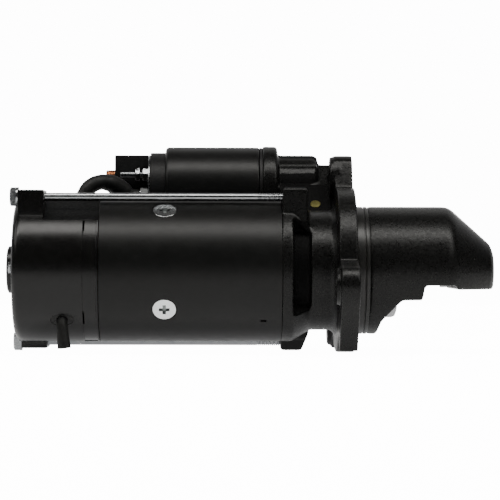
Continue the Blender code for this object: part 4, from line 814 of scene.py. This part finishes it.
cut(cover, turned("brush room", rod(COVER_END + COVER_WALL, COVER_FRONT + 2.0, BAND_BORE), FINE))
for turn in HALVES:
    bolt_room = [(COVER_END - 10.0, 0.0), (COVER_END - 10.0, 8.5), (EAR_REAR, 8.5),
                 (EAR_REAR, BOLT_RADIUS + GAP), (BAND_FRONT, BOLT_RADIUS + GAP), (BAND_FRONT, 0.0)]
    cut(cover, turned("bolt room", bolt_room, SMALL, leaned(BOLT_LEAN + turn, BOLT_OFFSET)))
drain_place = leaned(DRAIN_LEAN, 0.0, DRAIN_STATION)
cut(cover, prism("drain recess", oval(5.5), COVER_RADIUS - 3.6, COVER_RADIUS + 6.0, "Z", drain_place))
grommet_place = leaned(LEAD_LEAN, 0.0, LEAD_STATION) @ OUTWARD
cut(cover, turned("grommet hole", rod(40.0, 64.0, 8.2), SMALL, grommet_place))
fit(settle(cover, 18.0), "black painted aluminium", "end_cover")


def on_flat(spot):
    """Whether a spot lies on one of the two flats beside the through bolts, which take painted shade."""
    height = abs(spot @ upward(BOLT_LEAN))
    return abs(height - FLAT_OFFSET) < 0.05 and spot.x > EAR_FRONT


# Painted shade: the cover's flats beside the through bolts get the darker paint.
paint_shade_on(cover, shade_paint, on_flat)

band = turned("cover_band", soften([
    (COVER_FRONT - 0.2, BAND_BORE), (COVER_FRONT - 0.2, YOKE_RADIUS), (BAND_FRONT - 1.6, YOKE_RADIUS),
    (BAND_FRONT - 1.4, YOKE_RADIUS + 1.0), (BAND_FRONT, YOKE_RADIUS + 1.0),
    (BAND_FRONT, BAND_BORE)], 0.25), FINE)
for low, high, place in flats:
    cut(band, block("bolt flat", low, high, place))
for lean in (54.0, 131.0, -54.0, -131.0):
    slit = sector(60.0, 50.0, 90.0 + lean - 7.0, 90.0 + lean + 7.0, 12)
    cut(band, prism("vent slit", slit, BAND_REAR - 0.3, BAND_REAR + 0.9))
lap = sector(60.0, YOKE_RADIUS - 0.45, 234.0, 300.0, 30)
cut(band, prism("lap step", lap, BAND_REAR - 1.0, BAND_FRONT - 1.7))
fit(settle(band, 18.0), "black painted aluminium", "cover_band")
# Painted shade: the band's flats beside the through bolts get the darker paint.
paint_shade_on(band, shade_paint, on_flat)

cap_base = COVER_END - GAP
cap = turned("rear_bearing_cap", soften([
    (cap_base, 0.0), (cap_base, 18.8), (cap_base - 5.2, 18.8), (cap_base - 6.4, 16.6),
    (cap_base - 6.4, 9.0), (cap_base - 5.8, 8.4), (cap_base - 5.8, 0.0)], 0.7), FINE)
fit(settle(cap), "black painted aluminium", "bearing_cap")

cap_screw = prism("cap_screws", hexagon(8.0, 10.0), cap_base - 4.0, cap_base - 1.2)
bevel(cap_screw, 0.35, 2)
join(cap_screw, turned("cap screw washer", soften([
    (cap_base - 1.4, 0.0), (cap_base - 1.4, 4.2), (cap_base - 0.9, 4.6), (cap_base, 4.6), (cap_base, 2.3),
    (COVER_END + 4.3, 2.3), (COVER_END + 4.3, 0.0)], 0.2), SMALL))
settle(cap_screw, place=at(0.0, 0.0, 24.5))
settle(ringed(cap_screw, 2, zinc, 86.0))
fit(cap_screw, "zinc plated steel", "cap_screw_1", "cap_screw_2")

# Through bolts
head_front = EAR_REAR - GAP - 1.6
head_top = head_front - 5.3
thread_root = BOLT_RADIUS - 0.42
for number, turn in enumerate(HALVES, 1):
    place = leaned(BOLT_LEAN + turn, BOLT_OFFSET)
    bolt = prism(f"through_bolt_{number}_shaped", hexagon(13.0, 12.0), head_top, head_front)
    chamfer = turned("head chamfer", [
        (head_top, 0.0), (head_top, 6.1), (head_front - 4.5, WASHER_RADIUS),
        (head_front + 1.0, WASHER_RADIUS), (head_front + 1.0, 0.0)], SMALL)
    combine("INTERSECT", bolt, [chamfer])
    join(bolt, turned("bolt shank", soften([
        (head_front - 1.0, 0.0), (head_front - 1.0, 5.2), (head_front - 0.3, WASHER_RADIUS),
        (EAR_REAR - GAP, WASHER_RADIUS), (EAR_REAR - GAP, BOLT_RADIUS), (LUG_REAR - 19.0, BOLT_RADIUS),
        (LUG_REAR - 18.4, thread_root), (LUG_FRONT - 1.5, thread_root), (LUG_FRONT - 1.5, 0.0)], 0.15), 48))
    settle(bolt)
    threaded(bolt, LUG_REAR - 18.4, LUG_FRONT - LUG_REAR + 16.6, BOLT_RADIUS - 0.15, 1.6, zinc)
    bolt.matrix_world = place
    fit(settle(bolt), "zinc plated steel", f"through_bolt_{number}")


# Drain tube, motor lead, grommet and boot
def out_from(station, lean, offset, shift=(0.0, 0.0, 0.0)):
    """Point on a lean line, with a shift added."""
    angle = radians(lean)
    return (station + shift[0], -offset * sin(angle) + shift[1], offset * cos(angle) + shift[2])


drain_path = [out_from(DRAIN_STATION, DRAIN_LEAN, COVER_RADIUS - 6.1),
              out_from(DRAIN_STATION, DRAIN_LEAN, COVER_RADIUS + 2.6, (0.3, 0.0, -0.5)),
              out_from(DRAIN_STATION, DRAIN_LEAN, COVER_RADIUS + 4.1, (0.9, -0.6, -7.0)),
              out_from(DRAIN_STATION, DRAIN_LEAN, COVER_RADIUS + 4.6, (2.3, -1.6, -18.4))]
drain = swept("drain_hose", drain_path, (4.8, 4.4, 4.7, 5.2))
join(drain, prism("drain collar", oval(5.3), COVER_RADIUS - 3.4, COVER_RADIUS - 0.3, "Z", drain_place))
drain_end = Vector(drain_path[-1])
drain_way = (drain_end - Vector(drain_path[-2])).normalized()
bore_place = at(*drain_end) @ drain_way.to_track_quat("X", "Z").to_matrix().to_4x4()
cut(drain, turned("drain bore", rod(-12.0, 3.0, 3.0), SMALL, bore_place))
fit(settle(bevel(drain, 0.4, 2)), "black rubber", "drain_tube")

motor_spot = terminal(MOTOR_STUD).translation / MM
lead_end = PLATE_END - MOTOR_REACH - 0.6
lead_path = [out_from(LEAD_STATION, LEAD_LEAN, offset)
             for offset in (BAND_BORE - 1.0, COVER_RADIUS - 3.4, COVER_RADIUS + 2.8)]
lead_path += [(-217.0, 34.2, 59.8), (-214.1, 35.3, 65.0), (-210.3, 36.8, 68.4), (-205.6, 38.6, 70.5),
              (-200.4, 41.0, 71.1), (-194.8, 44.5, 69.8), (-190.6, 47.5, 67.2), (-187.4, 50.3, 64.0),
              (lead_end, 52.4, 61.0)]
lead = swept("motor_cable", lead_path, [5.2, 5.2, 5.3] + [6.3] * (len(lead_path) - 3))
fit(settle(lead), "black rubber", "motor_lead")
grommet = turned("cable_grommet", soften([
    (BAND_BORE + 0.6, 5.55), (BAND_BORE + 0.6, 7.85), (COVER_RADIUS + 0.8, 7.85),
    (COVER_RADIUS + 0.8, 9.45), (COVER_RADIUS + 2.2, 9.05), (COVER_RADIUS + 2.7, 5.55)], 0.6),
    MEDIUM, grommet_place)
fit(settle(grommet), "black rubber", "lead_grommet")
boot_path = lead_path[7:-2] + [(-186.6, 50.3, 63.8), (-183.0, 52.4, 61.0)]
boot_path += [(lead_end + back, motor_spot.y, motor_spot.z) for back in (5.3, 8.3, 12.4)]
boot = bevel(swept("cable_boot", boot_path, (6.5, 7.3, 8.0, 8.3, 8.0, 7.0, 5.6, 5.4)), 0.4)
fit(settle(boot), "black rubber", "lead_boot")

# Solenoid
can = turned("solenoid_shell", soften([
    (CAN_REAR - 1.4, CAP_RADIUS + GAP), *arc((CAN_REAR + 1.6, CAN_RADIUS - 3.0), 3.0, 180.0, 90.0, 8),
    (CAN_FRONT, CAN_RADIUS), (CAN_FRONT, 16.95), (CAN_FRONT - 3.6, 16.95), (CAN_FRONT - 3.6, CAN_BORE),
    (CAN_REAR + 2.0, CAN_BORE), (CAN_REAR + 2.0, CAP_RADIUS + GAP)], 2.2), FINE, SOLENOID)
fit(settle(can), "black painted steel", "solenoid_can")

gasket = turned("mount_gasket", [
    (CAN_FRONT + 0.1, CAN_RADIUS - 12.0), (CAN_FRONT + 0.1, CAN_RADIUS - 0.3),
    (SEAT_REAR - 0.1, CAN_RADIUS - 0.3), (SEAT_REAR - 0.1, CAN_RADIUS - 12.0)], FINE, SOLENOID)
fit(settle(gasket), "black rubber", "solenoid_gasket")

solenoid_cap = turned("terminal_cap", soften([
    (CAP_END, 0.0), (CAP_END, CAP_RADIUS), (CAN_REAR + 2.35, CAP_RADIUS),
    (CAN_REAR + 2.35, CAP_RIM), (CAN_REAR + 4.55, CAP_RIM), (CAN_REAR + 4.55, 27.2), (CAP_END + 3.6, 27.2),
    (CAP_END + 3.6, 0.0)], 0.8), FINE, SOLENOID)
for stud, radius in ((BATTERY_STUD, 5.35), (MOTOR_STUD, 4.35), (TRIGGER_STUD, 3.35)):
    hole = rod(CAP_END - 1.0, CAP_END + 6.0, radius)
    cut(solenoid_cap, turned("stud hole", hole, SMALL, terminal(stud)))
fit(settle(solenoid_cap), "black moulded plastic", "solenoid_cap")

plate_profile = soften(rod(PLATE_END, CAP_END - GAP, 28.5), 0.25)
plate = turned("terminal_washer_plate", plate_profile, FINE, SOLENOID)
for stud, radius in ((BATTERY_STUD, 5.9), (MOTOR_STUD, 4.9), (TRIGGER_STUD, 3.9)):
    cut(plate, turned("plate hole", rod(PLATE_END - 1.0, CAP_END, radius), SMALL, terminal(stud)))
fit(settle(plate), "zinc plated steel", "terminal_plate")

studs = (("battery", BATTERY_STUD, 5.0, 36.0, 7.4, 16.0, 1.5, copper, "copper", darker_zinc),
         ("motor", MOTOR_STUD, 4.0, MOTOR_REACH, 6.4, 13.0, 1.25, copper, "copper", darker_zinc),
         ("trigger", TRIGGER_STUD, TRIGGER_RADIUS, 23.4, 4.6, TRIGGER_FLATS, 0.8, zinc,
          "zinc plated steel", zinc))


def hex_nut(name, front, height, flats, bore):
    """Chamfered hexagon nut along local X."""
    nut = prism(name, hexagon(flats, -4.5), front - height, front)
    corner = flats / 2 / cos(pi / 6)
    rim = [(front - height, 0.0), (front - height, flats / 2), (front - height + 0.9, corner),
           (front - 0.9, corner), (front, flats / 2), (front, 0.0)]
    combine("INTERSECT", nut, [turned("nut chamfer", rim, SMALL)])
    return cut(nut, turned("nut hole", rod(front - height - 2.0, front + 2.0, bore), SMALL))


for name, spot, radius, reach, nut_height, nut_flats, pitch, metal, slot, nut_metal in studs:
    outer = PLATE_END - reach
    head = CAP_END + 3.95
    stud = turned(f"{name}_terminal_stud", soften([
        (outer, 0.0), (outer, radius - 0.9), (outer + 0.9, radius - 0.35), (PLATE_END + 1.0, radius - 0.35),
        (PLATE_END + 1.4, radius), (head, radius), (head, radius + 2.0), (head + 2.4, radius + 2.0),
        (head + 2.4, 0.0)], 0.2), 48)
    threaded(stud, outer + 0.6, reach, radius - 0.25, pitch, metal)
    stud.matrix_world = terminal(spot)
    fit(settle(stud), slot, f"{name}_stud", material=metal)
    nut = hex_nut(f"{name}_terminal_nut", PLATE_END - GAP, nut_height, nut_flats, radius + 0.3)
    fit(settle(nut, place=terminal(spot)), "zinc plated steel", f"{name}_nut", material=nut_metal)

lock_nut = hex_nut("trigger_lock_nut", PLATE_END - 7.4, 3.6, TRIGGER_FLATS, TRIGGER_RADIUS)
fit(settle(lock_nut, place=terminal(TRIGGER_STUD)), "zinc plated steel")


def under_trigger(spot):
    """Whether a spot lies on the lower side of the trigger stud or its nuts, which takes painted shade."""
    return spot.z < terminal(TRIGGER_STUD).translation.z / MM - 0.2


# Painted shade: the lower side of the trigger stud and its nuts gets the darker zinc.
for piece in (stud, nut, lock_nut):
    paint_shade_on(piece, darker_zinc, under_trigger)

hood_front = PLATE_END - GAP
hood_back = hood_front - 28.0
hood_place = terminal(BATTERY_STUD)
hood = block("terminal_hood", (hood_back, -11.5, -12.4), (hood_front, 13.5, 17.0), hood_place)
bevel(hood, 0.9)
cut(hood,
    block("hood inside", (hood_back + 2.2, -9.3, -10.2), (PLATE_END + 2.0, 11.3, 14.8), hood_place),
    turned("hood hole", rod(hood_back - 2.0, hood_back + 4.0, 5.35), SMALL, hood_place))
fit(settle(hood), "black moulded plastic", "terminal_cover")

# Pivot pin
pin = turned("lever_pivot_pin", soften([
    (-26.1, 0.0), (-26.1, 3.9), (-25.5, 4.4), (25.5, 4.4), (26.1, 3.9), (26.1, 0.0)], 0.3), 48,
    leaned(SOLENOID_LEAN, PIVOT_OFFSET, PIVOT_STATION) @ ACROSS)
fit(settle(pin), "yellow zinc plated steel", "pivot_pin")

# Drive: clutch, pinion and stop ring, with the shaft and lever as the CAD has them
groove_low = GROOVE_STATION - GROOVE_WIDTH / 2
groove_high = GROOVE_STATION + GROOVE_WIDTH / 2
clutch = turned("drive_clutch", soften([
    (groove_low - 2.5, CLUTCH_BORE), (groove_low - 2.5, GROOVE_RIM), (groove_low, GROOVE_RIM),
    (groove_low, GROOVE_FLOOR), (groove_high, GROOVE_FLOOR), (groove_high, GROOVE_RIM),
    (groove_high + 2.5, GROOVE_RIM), (groove_high + 2.5, 18.4), (CLUTCH_START, 18.4),
    (CLUTCH_START, CLUTCH_RADIUS - 6.0), (CLUTCH_START + 6.0, CLUTCH_RADIUS),
    (CLUTCH_END - 9.5, CLUTCH_RADIUS), (CLUTCH_END - 9.0, CLUTCH_RADIUS - 0.6),
    (CLUTCH_END - 8.0, CLUTCH_RADIUS - 0.6), (CLUTCH_END - 7.5, CLUTCH_RADIUS),
    (CLUTCH_END - 3.5, CLUTCH_RADIUS), (CLUTCH_END - 1.0, CLUTCH_RADIUS - 1.0),
    (CLUTCH_END, CLUTCH_RADIUS - 3.5), (CLUTCH_END, PINION_HUB + SLIDE_GAP),
    (CLUTCH_START + 4.0, PINION_HUB + SLIDE_GAP), (CLUTCH_START + 4.0, CLUTCH_BORE)], 0.5), FINE)
fit(settle(clutch), "machined steel", "clutch_shell", body="drive")


def gear(teeth, module):
    """Spur pinion outline with curved flanks."""
    middle = module * teeth / 2
    flank = []
    for step in range(6):
        rise = -1.15 + 2.15 * step / 5
        flank.append((-0.27 + 0.15 * rise + 0.02 * rise ** 2, middle + rise * module))
    points = []
    for k in range(teeth):
        for share, level in flank + [(-s, r) for s, r in reversed(flank)]:
            angle = 2 * pi * (k + share) / teeth
            points.append((level * cos(angle), level * sin(angle)))
    return points


pinion = prism("drive_pinion", gear(PINION_TEETH, PINION_MODULE), PINION_START, PINION_END)
combine("INTERSECT", pinion, [turned("tooth chamfer", [
    (PINION_START - 1.0, 0.0), (PINION_START - 1.0, 21.0), (PINION_END - 2.6, 21.0),
    (PINION_END + 1.0, 15.8), (PINION_END + 1.0, 0.0)], ROUND)])
join(pinion, turned("pinion hub", rod(CLUTCH_START + 4.35, PINION_START + 1.0, PINION_HUB), ROUND))
cut(pinion, turned("pinion bore", rod(CLUTCH_START, PINION_END + 2.0, SHAFT_FRONT + SLIDE_GAP), ROUND))
fit(settle(bevel(pinion, 0.3, 2)), "machined steel", "pinion", body="pinion")
stop = turned("pinion_stop_ring", soften([
    (STOP_RING_START, SHAFT_FRONT + GAP), (STOP_RING_START, 13.5), (STOP_RING_START + 5.0, 13.5),
    (STOP_RING_START + 5.0, SHAFT_FRONT + GAP)], 0.6), MEDIUM)
fit(settle(stop), "machined steel", "stop_ring", body="armature")
carried("rotor_shaft", "armature_shaft", "machined steel", "armature")
carried("lever_fork", "shift_lever", "machined steel", "lever")

# Camera, light and floor
camera = bpy.data.objects.new("camera", bpy.data.cameras.new("camera"))
camera.data.lens = 166.0
camera.data.sensor_width = 36.0
camera.data.clip_start = 0.05
camera.data.clip_end = 50.0
bpy.context.scene.collection.objects.link(camera)
eye = Vector((-0.1136, -1.84, 0.016))
look = Vector((-0.0826, 0.0, 0.016)) - eye
turn = look.to_track_quat("-Z", "Y").to_matrix().to_4x4()
camera.matrix_world = Matrix.Translation(eye) @ turn @ Matrix.Rotation(radians(0.13), 4, "Z")
bpy.context.scene.camera = camera


def softbox(name, spot, aim, size, power):
    """Rectangular studio light."""
    light = bpy.data.lights.new(name, "AREA")
    light.shape = "RECTANGLE"
    light.size, light.size_y = size
    light.energy = power
    light.color = WARM_WHITE
    lamp = bpy.data.objects.new(name, light)
    lamp.visible_camera = False
    bpy.context.scene.collection.objects.link(lamp)
    way = Vector(aim) - Vector(spot)
    lamp.matrix_world = Matrix.Translation(Vector(spot)) @ way.to_track_quat("-Z", "Y").to_matrix().to_4x4()


softbox("front softbox", (-0.08, -0.465, 1.21), (-0.08, 0.0, 0.0), (2.2, 0.42), 24.5)
softbox("back softbox", (-0.08, 0.90, 1.05), (-0.08, 0.0, 0.0), (2.2, 0.50), 1.5)
softbox("low back softbox", (-0.18, 1.60, 0.34), (-0.12, 0.0, 0.0), (1.6, 0.40), 5.0)
softbox("nose side softbox", (1.00, -0.95, 1.05), (0.0, 0.0, 0.0), (0.9, 0.6), 3.0)
softbox("rear side softbox", (-1.45, -0.20, 0.95), (-0.15, 0.0, 0.0), (0.9, 0.6), 4.5)

world = bpy.data.worlds.new("studio")
bpy.context.scene.world = world
world.use_nodes = True
nodes = world.node_tree.nodes
links = world.node_tree.links
background = nodes["Background"]
background.inputs["Color"].default_value = (1.0, 1.0, 1.0, 1.0)
parts = nodes.new("ShaderNodeSeparateXYZ")
behind = nodes.new("ShaderNodeMapRange")
behind.inputs["From Min"].default_value = 0.25
behind.inputs["From Max"].default_value = 0.70
low_down = nodes.new("ShaderNodeMapRange")
low_down.inputs["From Min"].default_value = 0.97
low_down.inputs["From Max"].default_value = 0.35
backdrop = nodes.new("ShaderNodeMath")
backdrop.operation = "MULTIPLY"
gloom = nodes.new("ShaderNodeMath")
gloom.operation = "MULTIPLY_ADD"
gloom.inputs[1].default_value = 0.68
gloom.inputs[2].default_value = 0.02
links.new(nodes.new("ShaderNodeTexCoord").outputs["Generated"], parts.inputs[0])
links.new(parts.outputs["Y"], behind.inputs["Value"])
links.new(parts.outputs["Z"], low_down.inputs["Value"])
links.new(behind.outputs["Result"], backdrop.inputs[0])
links.new(low_down.outputs["Result"], backdrop.inputs[1])
links.new(backdrop.outputs[0], gloom.inputs[0])
links.new(gloom.outputs[0], background.inputs["Strength"])
bright = nodes.new("ShaderNodeBackground")
bright.inputs["Color"].default_value = (1.0, 1.0, 1.0, 1.0)
bright.inputs["Strength"].default_value = WHITE
path = nodes.new("ShaderNodeLightPath")
pick = nodes.new("ShaderNodeMixShader")
links.new(path.outputs["Is Camera Ray"], pick.inputs["Fac"])
links.new(background.outputs[0], pick.inputs[1])
links.new(bright.outputs[0], pick.inputs[2])
links.new(pick.outputs[0], nodes["World Output"].inputs["Surface"])

floor_data = bmesh.new()
bmesh.ops.create_grid(floor_data, x_segments=8, y_segments=8, size=6.0)
floor = mesh_piece("floor", floor_data, at(0.0, 0.0, FLOOR_HEIGHT))
pale = bpy.data.materials.new("pale floor")
pale.use_nodes = True
nodes = pale.node_tree.nodes
links = pale.node_tree.links
shader = nodes["Principled BSDF"]
shader.inputs["Base Color"].default_value = (0.80, 0.80, 0.80, 1.0)
shader.inputs["Roughness"].default_value = 0.9
shader.inputs["Specular IOR Level"].default_value = 0.0
shader.inputs["Emission Color"].default_value = (1.0, 1.0, 1.0, 1.0)
spread = nodes.new("ShaderNodeTexGradient")
spread.gradient_type = "SPHERICAL"
scaled = nodes.new("ShaderNodeVectorMath")
scaled.operation = "MULTIPLY"
scaled.inputs[1].default_value = (0.9, 1.7, 1.0)
glow = nodes.new("ShaderNodeMapRange")
glow.inputs["To Min"].default_value = 0.15
glow.inputs["To Max"].default_value = 0.75
path = nodes.new("ShaderNodeLightPath")
level = nodes.new("ShaderNodeMix")
level.inputs["B"].default_value = WHITE
links.new(nodes.new("ShaderNodeTexCoord").outputs["Object"], scaled.inputs[0])
links.new(scaled.outputs[0], spread.inputs["Vector"])
links.new(spread.outputs["Fac"], glow.inputs["Value"])
links.new(path.outputs["Is Camera Ray"], level.inputs["Factor"])
links.new(glow.outputs["Result"], level.inputs["A"])
links.new(level.outputs["Result"], shader.inputs["Emission Strength"])
floor.data.materials.append(pale)
floor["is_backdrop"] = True

low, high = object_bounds()
